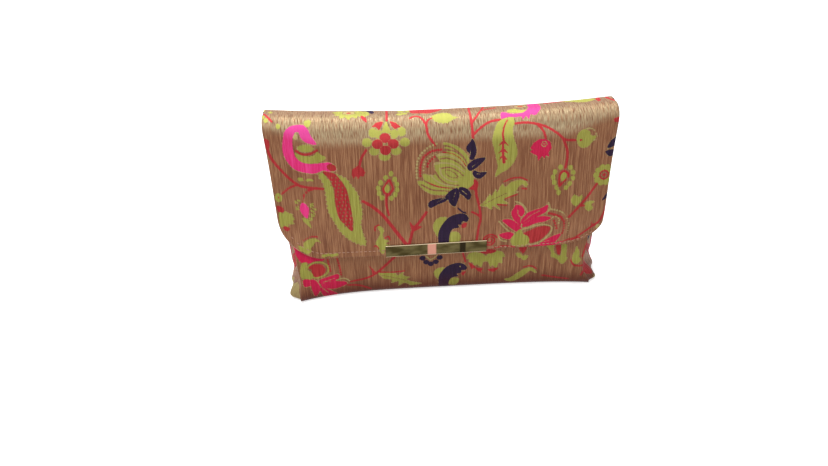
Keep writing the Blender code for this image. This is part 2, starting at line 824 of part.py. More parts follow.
def cut_leg_slots(target, place, from_y, to_y, material, carrier):
    """Two narrow slots for a snap's legs."""
    half = LEG_WIDTH / 2 + GAP
    for side in (-1, 1):
        x = side * LEG_SPREAD
        low = (x - LEG_METAL / 2 - GAP, min(from_y, to_y), -half)
        high = (x + LEG_METAL / 2 + GAP, max(from_y, to_y), half)
        points, faces = box_points(low, high)
        name = f"{target.name}_slot_{side + 1}"
        cutter = add_object(name, [place @ p for p in points], faces, material, carrier)
        cut_from(target, cutter)


def cut_round(target, place, radius, from_y, to_y, material, carrier):
    profile = [(0.0, from_y), (radius, from_y), (radius, to_y), (0.0, to_y)]
    points, faces = turned(profile)
    cutter = add_object(f"{target.name}_hole", [place @ p for p in points], faces, material, carrier)
    cut_from(target, cutter)


def build_socket(metal, magnet_material, cloth, board):
    """The half on the front: a drawn case round a ring magnet, on a plate whose legs grip a washer."""
    face_y = -snap_depths(front_depth, SNAP_RADIUS)[1]
    place = Matrix.Translation((BAR_OFFSET, face_y - GAP, MID_LEVEL))
    plate_top = -SNAP_METAL
    plate_rim = SNAP_RADIUS - SNAP_METAL - GAP
    plate = [(0.0, plate_top), (plate_rim, plate_top), (plate_rim, 0.0), (0.0, 0.0)]
    plate_points, plate_faces = turned(plate)
    plate_object = add_object("snap_socket_plate", [place @ p for p in plate_points], plate_faces, metal)

    face = -SOCKET_HEIGHT
    mouth = SOCKET_MOUTH_RADIUS
    case = [
        (SNAP_RADIUS, 0.0),
        (SNAP_RADIUS, face + SNAP_METAL),
        (SNAP_RADIUS - SNAP_METAL, face),
        (mouth, face),
        (mouth, plate_top - GAP),
        (mouth + SNAP_METAL, plate_top - GAP),
        (mouth + SNAP_METAL, face + SNAP_METAL),
        (SNAP_RADIUS - SNAP_METAL, face + SNAP_METAL),
        (SNAP_RADIUS - SNAP_METAL, 0.0),
    ]
    case_points, case_faces = turned(case)
    add_object("snap_socket_case", [place @ p for p in case_points], case_faces, metal)

    inner, rim = mouth + SNAP_METAL + GAP, SNAP_RADIUS - SNAP_METAL - GAP
    magnet_from, magnet_to = plate_top - GAP, face + SNAP_METAL + GAP
    magnet = [(inner, magnet_from), (rim, magnet_from), (rim, magnet_to), (inner, magnet_to)]
    magnet_points, magnet_faces = turned(magnet)
    add_object("snap_magnet", [place @ p for p in magnet_points], magnet_faces, magnet_material)

    cloth_back = -snap_depths(front_depth, WASHER_RADIUS)[0] + CLOTH
    washer_from = cloth_back + GAP - place.translation.y
    washer = washer_profile(washer_from, washer_from + WASHER_METAL, LEG_SPREAD - LEG_METAL)
    washer_points, washer_faces = turned(washer)
    washer_object = add_object("snap_socket_washer", [place @ p for p in washer_points], washer_faces, metal)
    add_legs(plate_object, place, 0.0, washer_from + WASHER_METAL + GAP / 2 + LEG_METAL, metal, None)
    cut_leg_slots(washer_object, place, 0.0, washer_from + BOARD * 2, metal, None)
    cut_leg_slots(cloth, place, -GAP / 2, washer_from, metal, None)
    cut_round(board, place, BOARD_HOLE_RADIUS, -BOARD, washer_from + BOARD * 3, metal, None)


def build_stud(metal, board, lining, carrier):
    """The half under the flap: a disc with a round stud, whose legs grip a washer in the board's hole."""
    lining_face = -snap_depths(flap_depth, SNAP_RADIUS)[0] + LINING_FROM + LINING
    place = Matrix.Translation((BAR_OFFSET, lining_face + GAP, MID_LEVEL))
    tip = STUD_DISC + STUD_LENGTH
    stud = [
        (0.0, 0.0),
        (SNAP_RADIUS - SNAP_METAL, 0.0),
        (SNAP_RADIUS, STUD_DISC * 0.5),
        (SNAP_RADIUS - SNAP_METAL, STUD_DISC),
        (STUD_RADIUS, STUD_DISC),
        (STUD_RADIUS, tip - SNAP_METAL),
        (STUD_RADIUS - SNAP_METAL, tip),
        (0.0, tip),
    ]
    stud_points, stud_faces = turned(stud)
    stud_object = add_object("snap_stud", [place @ p for p in stud_points], stud_faces, metal, carrier)
    lining_outer = -snap_depths(flap_depth, WASHER_RADIUS)[1] + LINING_FROM
    washer_from = lining_outer - GAP - place.translation.y
    add_legs(stud_object, place, 0.0, washer_from - WASHER_METAL - GAP / 2 - LEG_METAL, metal, carrier)
    washer = washer_profile(washer_from - WASHER_METAL, washer_from, LEG_SPREAD - LEG_METAL)
    washer_points, washer_faces = turned(washer)
    washer_points = [place @ p for p in washer_points]
    washer_object = add_object("snap_stud_washer", washer_points, washer_faces, metal, carrier)
    cut_leg_slots(washer_object, place, washer_from - BOARD * 2, 0.0, metal, carrier)
    cut_leg_slots(lining, place, washer_from, GAP / 2, metal, carrier)
    cut_round(board, place, BOARD_HOLE_RADIUS, washer_from - BOARD * 3, BOARD, metal, carrier)


def main():
    clear_scene()
    brocade = make_material("brocade", (0.42, 0.24, 0.13), 0.45, 0.15)
    lining = make_material("lining_satin", (0.47, 0.30, 0.16), 0.55)
    card = make_material("grey_board", (0.42, 0.38, 0.33), 0.9)
    wadding = make_material("wadding", (0.80, 0.78, 0.72), 0.95)
    bar_metal = make_material("polished_gold", (0.80, 0.66, 0.36), 0.08, 1.0)
    snap_metal = make_material("snap_brass", (0.72, 0.60, 0.36), 0.25, 1.0)
    magnet = make_material("magnet", (0.12, 0.12, 0.13), 0.5, 0.6)

    cloth = build_body_cloth(brocade)
    front_board = build_front_board(card)
    build_back_board(card)
    build_base_board(card)
    build_body_lining(lining)
    gusset_top = MOUTH_HEIGHT - GUSSET_TOP_DROP
    for side, word in ((-1, "left"), (1, "right")):
        build_gusset(f"{word}_gusset", side, 0.0, CLOTH, gusset_top, 0.0, brocade)
        inside = CLOTH + GAP
        lining_top = gusset_top - HEM_WIDTH
        build_gusset(f"{word}_gusset_lining", side, inside, inside + LINING, lining_top, BASE_ROUND, lining)

    back_crease = on_circle(fold_centre_back(1.0), BACK_FOLD_RADIUS, BACK_CREASE_ANGLE)
    front_crease = on_circle(fold_centre_front(1.0), FRONT_FOLD_RADIUS, FRONT_CREASE_ANGLE)
    spine_axis = add_axis("spine_axis", Vector((0.0, *back_crease)))
    flap_axis = add_axis("flap_axis", Vector((0.0, *front_crease)), spine_axis)

    build_spine("spine_cloth", 0.0, CLOTH, 0.0, brocade, spine_axis)
    build_spine("spine_wadding", BOARD_FROM, BOARD_FROM + BOARD, CLOTH + GAP, wadding, spine_axis)
    build_spine("spine_lining", LINING_FROM, LINING_FROM + LINING, HEM_WIDTH, lining, spine_axis)

    build_flap_cloth(brocade, flap_axis)
    flap_board = build_flap_board(card, flap_axis)
    flap_lining = build_flap_lining(lining, flap_axis)
    bar = build_bar(bar_metal, flap_axis)
    build_bar_screws(bar_metal, bar, flap_axis)

    build_socket(snap_metal, magnet, cloth, front_board)
    build_stud(snap_metal, flap_board, flap_lining, flap_axis)


main()
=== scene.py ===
# Looks of a brocade flap clutch: the woven cloth with its garden pattern, the linings, the polished bar,
# the stitching, the snap, and a pale floor with soft light.

import math

import bpy
import numpy as np
from mathutils import Matrix, Vector


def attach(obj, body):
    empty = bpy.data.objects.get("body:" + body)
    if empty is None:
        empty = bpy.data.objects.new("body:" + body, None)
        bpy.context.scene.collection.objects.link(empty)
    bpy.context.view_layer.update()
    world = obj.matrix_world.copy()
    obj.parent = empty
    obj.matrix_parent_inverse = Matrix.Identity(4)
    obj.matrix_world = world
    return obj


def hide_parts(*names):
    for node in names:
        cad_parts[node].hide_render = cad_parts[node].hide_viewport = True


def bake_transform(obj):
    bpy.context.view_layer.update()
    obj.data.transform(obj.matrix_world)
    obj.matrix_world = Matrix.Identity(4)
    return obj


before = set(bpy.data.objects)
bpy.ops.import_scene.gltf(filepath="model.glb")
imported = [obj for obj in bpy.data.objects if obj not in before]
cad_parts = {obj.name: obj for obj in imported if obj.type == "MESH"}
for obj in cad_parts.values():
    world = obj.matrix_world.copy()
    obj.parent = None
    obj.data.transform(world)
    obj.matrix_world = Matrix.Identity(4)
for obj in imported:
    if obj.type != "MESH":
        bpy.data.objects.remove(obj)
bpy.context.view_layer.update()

# Overall form, as the solids have it
BAG_WIDTH = 0.250
TOP_WIDTH = 0.260
BACK_WIDTH = 0.258
FRONT_WIDTH = 0.234
BAG_HEIGHT = 0.152
TOP_SAG = 0.005
MOUTH_HEIGHT = 0.129
FRONT_BASE_DEPTH = 0.0120
FRONT_MID_DEPTH = 0.0200
FRONT_TOP_DEPTH = 0.0115
BACK_BASE_DEPTH = 0.0095
BACK_MID_DEPTH = 0.0160
BACK_TOP_DEPTH = 0.0125
BASE_ROUND = 0.0065
MID_LEVEL = 0.060
WAIST_LEVEL = 0.018
WAIST_REACH = 0.024
FRONT_WAIST_PULL = 0.0025
FRONT_CORNER_REACH = 0.0020
BACK_CORNER_PULL = 0.0030
FRONT_LEAN = 0.0030
BACK_LEAN = 0.0035
LEFT_CORNER_FLARE = 0.011
RIGHT_CORNER_FLARE = 0.005
SIDE_SLIM = 0.003
BACK_FOLD_RADIUS = 0.008
FRONT_FOLD_RADIUS = 0.012
FLAP_STANDOFF_TOP = 0.0056
FLAP_STANDOFF_SNAP = 0.0066
FLAP_STANDOFF_EDGE = 0.0057
FLAP_EDGE_LEVEL = 0.040
FLAP_EDGE_SLOPE = 0.012
FLAP_CORNER_WIDTH = 0.034
LEFT_CORNER_RISE = 0.036
RIGHT_CORNER_RISE = 0.020
HEM_WIDTH = 0.009
HEM_THICKNESS = 0.0032
LINING_DEPTH = 0.0027
SEAM_DEPTH = 0.0011
GUSSET_DROP = 0.003
BAR_LENGTH = 0.080
BAR_FRONT_HEIGHT = 0.0098
BAR_BACK_HEIGHT = 0.0078
BAR_METAL = 0.0007
BAR_OFFSET = -0.006
BAR_CLEARANCE = 0.0003

# Details that only the looks have
LONG_RIPPLE = 0.00030
FINE_RIPPLE = 0.00012
SLANTED_RIPPLE = 0.00022
SEAM_FADE = 0.008
FIRST_INSET = 0.0009
PUCKER = 0.0006
CORNER_ZONE = 0.03
GUSSET_CLOTH_WIDTH = 0.046
GUSSET_INNER_PUSH = 0.0012
GUSSET_INNER_TRIM = 0.03
FOLD_AT_FOOT, FOLD_AT_TOP = -0.0035, 0.0155
LINING_TRIM = 0.0036
LINING_WAVE = 0.0003
LINING_HEM = ((0.0092, 0.00290), (0.0086, 0.00340), (0.0083, 0.00340), (0.0081, 0.00325))
BAR_BEND = 0.00075
BAR_EDGE_ROUND = 0.00022
STITCH_SIZE = (0.0013, 0.00034, 0.00034)
STITCH_PITCH = 0.0034
STITCH_RUN = 0.0026
STITCH_SINK = 0.00002
STITCH_ROWS = ((-0.117, -0.049, 0.0054), (0.037, 0.117, 0.0026))

MM = 0.001
FAR = 9.0

# Shifts of the flap's pattern, in mm, where it is laid again on the hidden front and on the back
HIDDEN_FRONT_START = 52.0
HIDDEN_FRONT_SHIFTS = (95.0, -155.0)
HIDDEN_FRONT_RISE = -12.0
BACK_START = 176.0
BACK_SHIFTS = (62.0, -188.0)
BACK_RISE = 150.0


def ease(share):
    share = np.clip(share, 0.0, 1.0)
    return share * share * (3.0 - 2.0 * share)


def mix(a, b, share):
    return a + (b - a) * share


# Surfaces of the cloth


def face_depth(level, base, mid, top):
    """Distance of an outer face from the middle plane."""
    low = base + BASE_ROUND
    drop = np.clip(1.0 - level / BASE_ROUND, 0.0, 1.0)
    bend = base + BASE_ROUND * np.sqrt(np.clip(1.0 - drop * drop, 0.0, 1.0))
    lower = mix(low, mid, ease((level - BASE_ROUND) / (MID_LEVEL - BASE_ROUND)))
    upper = mix(mid, top, ease((level - MID_LEVEL) / (BAG_HEIGHT - MID_LEVEL)))
    return np.where(level < BASE_ROUND, bend, np.where(level < MID_LEVEL, lower, upper))


def front_depth(share, level):
    flare = np.where(share < 0, LEFT_CORNER_FLARE, RIGHT_CORNER_FLARE) * share**4
    slim = SIDE_SLIM * share**4
    return face_depth(level, FRONT_BASE_DEPTH + flare, FRONT_MID_DEPTH - slim, FRONT_TOP_DEPTH)


def back_depth(share, level):
    return face_depth(level, BACK_BASE_DEPTH, BACK_MID_DEPTH - SIDE_SLIM * share**4, BACK_TOP_DEPTH)


def top_level(share):
    return BAG_HEIGHT - TOP_SAG * (1.0 - share * share)


def front_half_width(level):
    below = mix(FRONT_CORNER_REACH, -FRONT_WAIST_PULL, ease(level / WAIST_LEVEL))
    above = -FRONT_WAIST_PULL * (1.0 - ease((level - WAIST_LEVEL) / WAIST_REACH))
    return FRONT_WIDTH / 2 + np.where(level < WAIST_LEVEL, below, above)


def back_half_width(level):
    pull = BACK_CORNER_PULL * (1.0 - ease(level / WAIST_LEVEL))
    return mix(BACK_WIDTH, TOP_WIDTH, level / BAG_HEIGHT) / 2 - pull


def front_lean(level):
    return FRONT_LEAN * (1.0 - ease(level / WAIST_LEVEL))


def back_lean(level):
    return BACK_LEAN * (1.0 - ease(level / (BAG_HEIGHT - BACK_FOLD_RADIUS)))


def flap_half_width(level):
    up = (level - FLAP_EDGE_LEVEL) / (BAG_HEIGHT - FLAP_EDGE_LEVEL)
    return mix(BAG_WIDTH, TOP_WIDTH, up) / 2


def body_x(y, level, share):
    front, back = front_depth(share, level), back_depth(share, level)
    across = ease((y + front) / (front + back))
    half = mix(front_half_width(level), back_half_width(level), across)
    return share * half + mix(front_lean(level), back_lean(level), across)


def flap_depth(share, level):
    fold_level = top_level(share) - FRONT_FOLD_RADIUS
    up = ease((level - MID_LEVEL) / (fold_level - MID_LEVEL))
    bar_top = FLAP_EDGE_LEVEL + BAR_FRONT_HEIGHT
    near_snap = ease((level - bar_top) / (MID_LEVEL - bar_top))
    standoff = mix(FLAP_STANDOFF_EDGE, FLAP_STANDOFF_SNAP, near_snap)
    return mix(front_depth(share, level) + standoff, FRONT_TOP_DEPTH + FLAP_STANDOFF_TOP, up)


def flap_edge(x, inset):
    """Height of the flap's lower edge at a place across it."""
    corner = FLAP_CORNER_WIDTH - inset
    past = np.clip((np.abs(x) - (BAG_WIDTH / 2 - FLAP_CORNER_WIDTH)) / corner, 0.0, 1.0)
    rise = np.where(x < 0, LEFT_CORNER_RISE, RIGHT_CORNER_RISE) - inset
    curve = 1.0 - np.sqrt(np.clip(1.0 - past * past, 0, 1))
    return FLAP_EDGE_LEVEL + FLAP_EDGE_SLOPE * x + inset + rise * curve


def ripples(u, v):
    """Soft unevenness of stretched cloth, in metres, from a few long waves."""
    a = np.sin(u * 61.0 + 1.3 * np.sin(v * 23.0)) * np.sin(v * 37.0 + 0.8)
    b = np.sin(u * 143.0 + v * 31.0 + 2.1) * np.sin(v * 71.0 - u * 19.0)
    c = np.sin(u * 29.0 - v * 47.0 + 0.4)
    return LONG_RIPPLE * a + FINE_RIPPLE * b + SLANTED_RIPPLE * c


# Laying cloth: a plain grid is added and its points are set on the surface


def select_only(piece):
    bpy.ops.object.select_all(action="DESELECT")
    piece.select_set(True)
    bpy.context.view_layer.objects.active = piece


def write_attribute(piece, name, values):
    attribute = piece.data.attributes.new(name, "FLOAT", "POINT")
    attribute.data.foreach_set("value", np.ascontiguousarray(values, dtype=np.float32).ravel())


def lay_grid(name, points, cloth, material, fields=None, inside_out=False):
    """A grid with the given points. cloth holds each point's place on the flat cloth, in metres."""
    rows, cols = points.shape[:2]
    bpy.ops.object.select_all(action="DESELECT")
    bpy.ops.mesh.primitive_grid_add(x_subdivisions=cols - 1, y_subdivisions=rows - 1, size=1.0)
    piece = bpy.context.object
    piece.name = piece.data.name = name
    if len(piece.data.vertices) != rows * cols:
        raise ValueError(f"{name}: the grid has {len(piece.data.vertices)} points, not {rows * cols}")
    piece.data.vertices.foreach_set("co", np.ascontiguousarray(points, dtype=np.float32).ravel())
    while piece.data.uv_layers:
        piece.data.uv_layers.remove(piece.data.uv_layers[0])
    place = piece.data.attributes.new("cloth", "FLOAT_VECTOR", "POINT")
    flat = np.dstack([cloth, np.zeros((rows, cols))])
    place.data.foreach_set("vector", np.ascontiguousarray(flat, dtype=np.float32).ravel())
    for colour, field in (fields or {}).items():
        write_attribute(piece, colour, field)
    piece.data.update()
    select_only(piece)
    bpy.ops.object.mode_set(mode="EDIT")
    bpy.ops.mesh.select_all(action="SELECT")
    bpy.ops.mesh.remove_doubles(threshold=0.000002)
    if inside_out:
        bpy.ops.mesh.flip_normals()
    bpy.ops.mesh.select_all(action="DESELECT")
    bpy.ops.object.mode_set(mode="OBJECT")
    bpy.ops.object.shade_smooth_by_angle(angle=math.radians(60.0))
    piece.data.materials.append(material)
    return piece


def row_normals(y, z):
    """Direction into the bag for each point of profiles that run with the inside on their left."""
    dy, dz = np.gradient(y, axis=0), np.gradient(z, axis=0)
    length = np.hypot(dy, dz)
    length[length == 0.0] = 1.0
    return -dz / length, dy / length


# The woven pattern. Each colour has a field that tells how far inside its threads a point lies, in mm.


class Weave:
    """Colour fields over one piece of cloth. A later motif covers an earlier one."""

    COLOURS = ("magenta", "crimson", "red", "lime", "purple", "gold")

    def __init__(self, u, v, fields=None, wanted=None):
        self.u, self.v = u, v
        self.fields = fields or {colour: np.full(u.shape, -FAR) for colour in self.COLOURS}
        self.wanted = np.ones(u.shape, bool) if wanted is None else wanted

    def moved(self, du, dv, wanted):
        """The same cloth, on whose wanted part motifs are laid du and dv further on."""
        return Weave(self.u - du, self.v - dv, self.fields, wanted)

    def near(self, low, high, margin=3.0):
        inside = (self.u > low[0] - margin) & (self.u < high[0] + margin)
        inside &= (self.v > low[1] - margin) & (self.v < high[1] + margin)
        return np.nonzero(inside & self.wanted)

    def lay(self, colour, spot, inside):
        for name, field in self.fields.items():
            if name == colour:
                field[spot] = np.maximum(field[spot], inside)
            else:
                field[spot] = np.minimum(field[spot], -inside)


def through(points, closed, steps=6):
    """A smooth line through the given points."""
    points = np.array(points, float)
    count = len(points)
    if closed:
        before, after = np.roll(points, 1, 0), np.roll(points, -1, 0)
        after2 = np.roll(points, -2, 0)
        spans = count
    else:
        padded = np.vstack([2 * points[0] - points[1], points, 2 * points[-1] - points[-2]])
        before, after, after2 = padded[:-3], padded[2:-1], padded[3:]
        points = points[:-1]
        spans = count - 1
    line = []
    for k in range(spans):
        p0, p1, p2, p3 = before[k], points[k], after[k], after2[k]
        for t in np.arange(steps) / steps:
            square = (2 * p0 - 5 * p1 + 4 * p2 - p3) * t**2
            cube = (3 * p1 - p0 - 3 * p2 + p3) * t**3
            line.append(0.5 * (2 * p1 + (p2 - p0) * t + square + cube))
    if not closed:
        line.append(after[-1])
    return np.array(line)


def distance_to_line(u, v, line, closed, widths=None):
    """Distance to the nearest stretch of a line, less the line's own half width there."""
    best = np.full(u.shape, 1e9)
    count = len(line) if closed else len(line) - 1
    for k in range(count):
        a, b = line[k], line[(k + 1) % len(line)]
        run = b - a
        along = ((u - a[0]) * run[0] + (v - a[1]) * run[1]) / max(run @ run, 1e-12)
        along = np.clip(along, 0.0, 1.0)
        gap = np.hypot(u - a[0] - along * run[0], v - a[1] - along * run[1])
        if widths is not None:
            gap = gap - mix(widths[k], widths[(k + 1) % len(line)], along)
        best = np.minimum(best, gap)
    return best


def is_within(u, v, line):
    within = np.zeros(u.shape, bool)
    for a, b in zip(line, np.roll(line, -1, 0)):
        if a[1] == b[1]:
            continue
        crosses = (a[1] > v) != (b[1] > v)
        within ^= crosses & (u < (b[0] - a[0]) * (v - a[1]) / (b[1] - a[1]) + a[0])
    return within


def fill(weave, colour, points, smooth=True, outline=None, outline_width=0.5):
    """A filled shape with a smooth or an angular edge, and an outline in another colour if wanted."""
    line = through(points, True) if smooth else np.array(points, float)
    spot = weave.near(line.min(0), line.max(0))
    if not len(spot[0]):
        return
    u, v = weave.u[spot], weave.v[spot]
    gap = distance_to_line(u, v, line, True)
    inside = np.where(is_within(u, v, line), gap, -gap)
    if outline:
        weave.lay(outline, spot, inside + outline_width)
    weave.lay(colour, spot, inside)


def stroke(weave, colour, points, width, end_width=None, smooth=True):
    """A line of thread, which may grow thinner towards its end."""
    line = through(points, False) if smooth and len(points) > 2 else np.array(points, float)
    spot = weave.near(line.min(0), line.max(0))
    if not len(spot[0]):
        return
    widths = np.linspace(width, width if end_width is None else end_width, len(line)) / 2
    weave.lay(colour, spot, -distance_to_line(weave.u[spot], weave.v[spot], line, False, widths))


def oval(weave, colour, centre, radii, turn=0.0, outline=None, outline_width=0.5):
    """A filled oval, turned by some degrees."""
    angle = np.linspace(0.0, 2 * math.pi, 20, endpoint=False)
    turn = math.radians(turn)
    a, b = radii[0] * np.cos(angle), radii[1] * np.sin(angle)
    u = centre[0] + a * math.cos(turn) - b * math.sin(turn)
    v = centre[1] + a * math.sin(turn) + b * math.cos(turn)
    fill(weave, colour, np.stack([u, v], 1), False, outline, outline_width)


def petal(weave, colour, root, tip, width, outline="gold", belly=0.55, outline_width=0.5):
    """A pointed petal from its root to its tip."""
    root, tip = np.array(root, float), np.array(tip, float)
    run = tip - root
    side = np.array([-run[1], run[0]]) / max(np.hypot(*run), 1e-9) * width / 2
    shares = (0.0, 0.2, belly, 0.82, 1.0)
    swell = (0.35, 0.85, 1.0, 0.55, 0.0)
    left = [root + run * s + side * w for s, w in zip(shares, swell)]
    right = [root + run * s - side * w for s, w in zip(shares, swell)]
    fill(weave, colour, left + right[::-1][1:], True, outline, outline_width)


def toothed(points, tooth, pitch):
    """An outline with saw teeth, as woven leaves have."""
    line = through(points, True, 8)
    run = np.vstack([line, line[:1]])
    lengths = np.r_[0.0, np.cumsum(np.hypot(*np.diff(run, axis=0).T))]
    count = 2 * max(6, int(lengths[-1] / pitch))
    at = np.linspace(0.0, lengths[-1], count, endpoint=False)
    u, v = np.interp(at, lengths, run[:, 0]), np.interp(at, lengths, run[:, 1])
    area = np.sum(line[:, 0] * np.roll(line[:, 1], -1) - np.roll(line[:, 0], -1) * line[:, 1])
    du, dv = np.roll(u, -1) - np.roll(u, 1), np.roll(v, -1) - np.roll(v, 1)
    length = np.hypot(du, dv)
    out = np.sign(area) * np.stack([dv, -du], 1) / length[:, None]
    reach = np.where(np.arange(count) % 2, tooth, -tooth * 0.6)
    return np.stack([u, v], 1) + out * reach[:, None]


def stem(weave, points, width=1.6, end_width=None):
    stroke(weave, "red", points, width, end_width)


def edged(weave, colour, points, width=0.3):
    """A filled shape with a thin gold edge."""
    fill(weave, colour, points, True, "gold", width)


def dots(weave, colour, points, radius, pitch):
    """A row of dots along a smooth line."""
    line = through(points, False, 8)
    lengths = np.r_[0.0, np.cumsum(np.hypot(*np.diff(line, axis=0).T))]
    for at in np.arange(0.0, lengths[-1] + 0.1, pitch):
        spot = (np.interp(at, lengths, line[:, 0]), np.interp(at, lengths, line[:, 1]))
        oval(weave, colour, spot, (radius, radius))


# Motifs of the flap's cloth. Places are in mm: across from the middle, and up from the floor along the cloth.


def crested_hook(weave):
    """The large curled form at the upper left."""
    curl = [(-81, 116), (-85, 118), (-92, 117.5), (-99, 117.5), (-104.5, 119.5), (-108, 123.5), (-109, 130)]
    head = [
        (-108.5, 137.5), (-106, 142), (-103.5, 141.5), (-102.5, 137.5), (-99.5, 134), (-92, 132), (-95.5, 139)
    ]
    back = [
        (-97, 143), (-100, 146.5), (-104.5, 147), (-109.5, 146), (-113.5, 142.5), (-115.5, 136),
        (-116.5, 129.5)
    ]
    foot = [(-115.5, 123), (-112, 116.5), (-107, 112.5), (-96.5, 110), (-89, 112), (-84, 111), (-79, 112)]
    edged(weave, "magenta", curl + head + back + foot, 0.5)
    oval(weave, "red", (-82.5, 114), (3.4, 2.6), -25)
    oval(weave, "gold", (-106, 138.5), (1.0, 2.4))
    oval(weave, "lime", (-100, 129.3), (5.8, 2.6), -6, "gold")
    stem(weave, [(-107, 128), (-103, 125), (-97.5, 125), (-92, 127.5)], 1.5)
    lip = [
        (-108.5, 126.5), (-104.5, 124.5), (-98.5, 123), (-94, 124), (-92, 126.5), (-90, 124.5), (-86, 121.5)
    ]
    fill(weave, "lime", lip + [(-91, 118.5), (-99, 118), (-105, 120)])
    for tip in ((-99.5, 151), (-97.3, 152.5), (-94.8, 150.5)):
        petal(weave, "lime", (-97.3, 145), tip, 2.4, None)


def serrated_tail(weave):
    """The long leaf that hangs from the hook, with a red mesh down its middle."""
    left = [
        (-84, 110), (-92.5, 109.5), (-89.5, 103), (-88, 94), (-87.5, 84.5), (-86.5, 79), (-83, 72),
        (-78.5, 63)
    ]
    tip = [(-70.5, 54.5), (-61, 51)]
    right = [
        (-63, 62.5), (-64, 69.5), (-62.5, 76.5), (-62.5, 82), (-64, 88), (-65, 93), (-69, 99), (-72.5, 104.5),
        (-79, 108)
    ]
    fill(weave, "lime", toothed(left + tip + right, 0.8, 3.4), False, "gold", 0.4)
    heart = [(-89, 111), (-85, 105.5), (-82, 97.5), (-81.5, 85.5), (-79.5, 75), (-75, 69), (-70.5, 64)]
    heart += [(-69.5, 72), (-70.5, 82), (-71.5, 89.5), (-73, 97), (-77, 104.5), (-81.5, 109.5)]
    fill(weave, "red", heart, True, "base", 0.5)
    for row in range(15):
        level = 106.0 - 2.7 * row
        middle = np.interp(level, (64, 78, 92, 108), (-71, -75, -77, -83))
        for k in (-1, 0, 1):
            oval(weave, "base", (middle + 3.0 * k + 1.5 * (row % 2) - 0.7, level), (0.75, 1.0))


def rosette(weave):
    """The round flower of four red petals in a lime collar, and the bud that hangs from it."""
    collar = (
        ((-51, 139), 3.4), ((-47, 138), 3.0), ((-55.5, 132), 4.2), ((-50.5, 125), 4.2), ((-43, 120.5), 5.0),
        ((-34.5, 124.5), 4.4), ((-28, 131), 4.2), ((-30, 139), 3.4), ((-35.5, 137.5), 3.2)
    )
    for centre, width in collar:
        oval(weave, "lime", centre, (width * 0.84, 3.2), 0, "gold", 0.35)
    top_left = [(-51.5, 143.5), (-48, 146.5), (-43, 147.5), (-44, 144.5), (-46.5, 140.5), (-48, 143)]
    top_right = [(-38.5, 147.5), (-34.5, 146), (-30.5, 142.5), (-32.5, 142), (-35, 141), (-37, 143.5)]
    for points in (top_left, top_right):
        fill(weave, "red", points, False, "gold", 0.4)
    fill(
        weave, "lime", [(-41, 147), (-39.3, 142.5), (-38.2, 139.5), (-41.3, 137.6), (-44.3, 139), (-43, 143)],
        True, "base"
    )
    for centre in ((-42.3, 134.8), (-48, 130.3), (-36.4, 130), (-42.3, 125.3)):
        oval(weave, "red", centre, (3.9, 3.7), 0, "gold", 0.55)
    stem(weave, [(-40.5, 148), (-40.3, 157), (-40, 172)], 1.6)
    stem(weave, [(-56.5, 126), (-60, 120.5), (-62, 114.5)], 1.7)
    bud = [
        (-62.5, 115), (-59.5, 112), (-58, 108.5), (-60, 105.5), (-61.5, 107), (-63.5, 104), (-65, 107),
        (-67, 104.5)
    ]
    fill(weave, "red", bud + [(-68, 107.5), (-67.5, 111.5), (-64.5, 113.5)], False, "base", 0.3)


def drop_flower(weave, outline, heart, petals):
    """A red drop with a lime heart, in a ring of small lime petals."""
    for centre in petals:
        oval(weave, "lime", centre, (1.7, 2.0), 0, "base", 0.5)
    fill(weave, "base", outline, True, "base", 1.0)
    fill(weave, "red", outline)
    outline = np.array(outline, float)
    fill(weave, "base", mix(outline, outline.mean(axis=0), 0.36))
    fill(weave, "lime", heart)


def small_flowers(weave):
    """The drop flower, the stems and the curled leaf between the tail and the bar."""
    petals = [
        (-39, 107), (-43, 104), (-36.5, 102.5), (-47, 100.5), (-35, 98.5), (-49, 96.5), (-35, 94.5),
        (-48.5, 92.5)
    ]
    outline = [(-40.5, 103), (-38, 98), (-37.6, 94.5), (-42, 90), (-46, 94.5), (-44.3, 98.5)]
    drop_flower(
        weave, outline, [(-42, 99), (-40.5, 95.5), (-42.5, 92.5), (-44.3, 95.5)], petals + [(-36.5, 91),
        (-46.5, 89), (-39.5, 88.5)]
    )
    stem(weave, [(-43, 90.5), (-43.5, 84), (-42, 75.5)], 1.5)
    stem(weave, [(-61, 87), (-54, 82.5), (-47, 76), (-42.5, 70), (-36.5, 61), (-28.5, 48)], 2.0, 2.8)
    stem(weave, [(-13.5, 76.5), (-18.5, 69.5), (-23.5, 63.5), (-25.5, 57), (-27.5, 48)], 2.0, 2.2)
    fill(
        weave, "red", [(-26.5, 70), (-25.5, 64), (-24, 61), (-20, 63), (-16.5, 65.5), (-21, 65.5),
        (-23.5, 66)], False
    )
    curl = [
        (-51, 66.5), (-48.5, 66.5), (-46.5, 63.5), (-47.5, 58.5), (-46, 55), (-43, 53.5), (-45.5, 51),
        (-41.5, 48.5)
    ]
    edged(
        weave, "lime", curl + [(-46, 46.5), (-47.5, 42), (-49.5, 43.5), (-51, 48), (-53, 52), (-50.5, 57.5),
        (-49, 61.5)]
    )
    stem(weave, [(-53, 63.5), (-52.8, 66.5), (-50, 68)], 1.1)
    stem(weave, [(-54.5, 49), (-52.5, 49.5), (-51, 47)], 1.0)
    stem(weave, [(-46, 56), (-43, 58), (-42, 54.5)], 1.0)


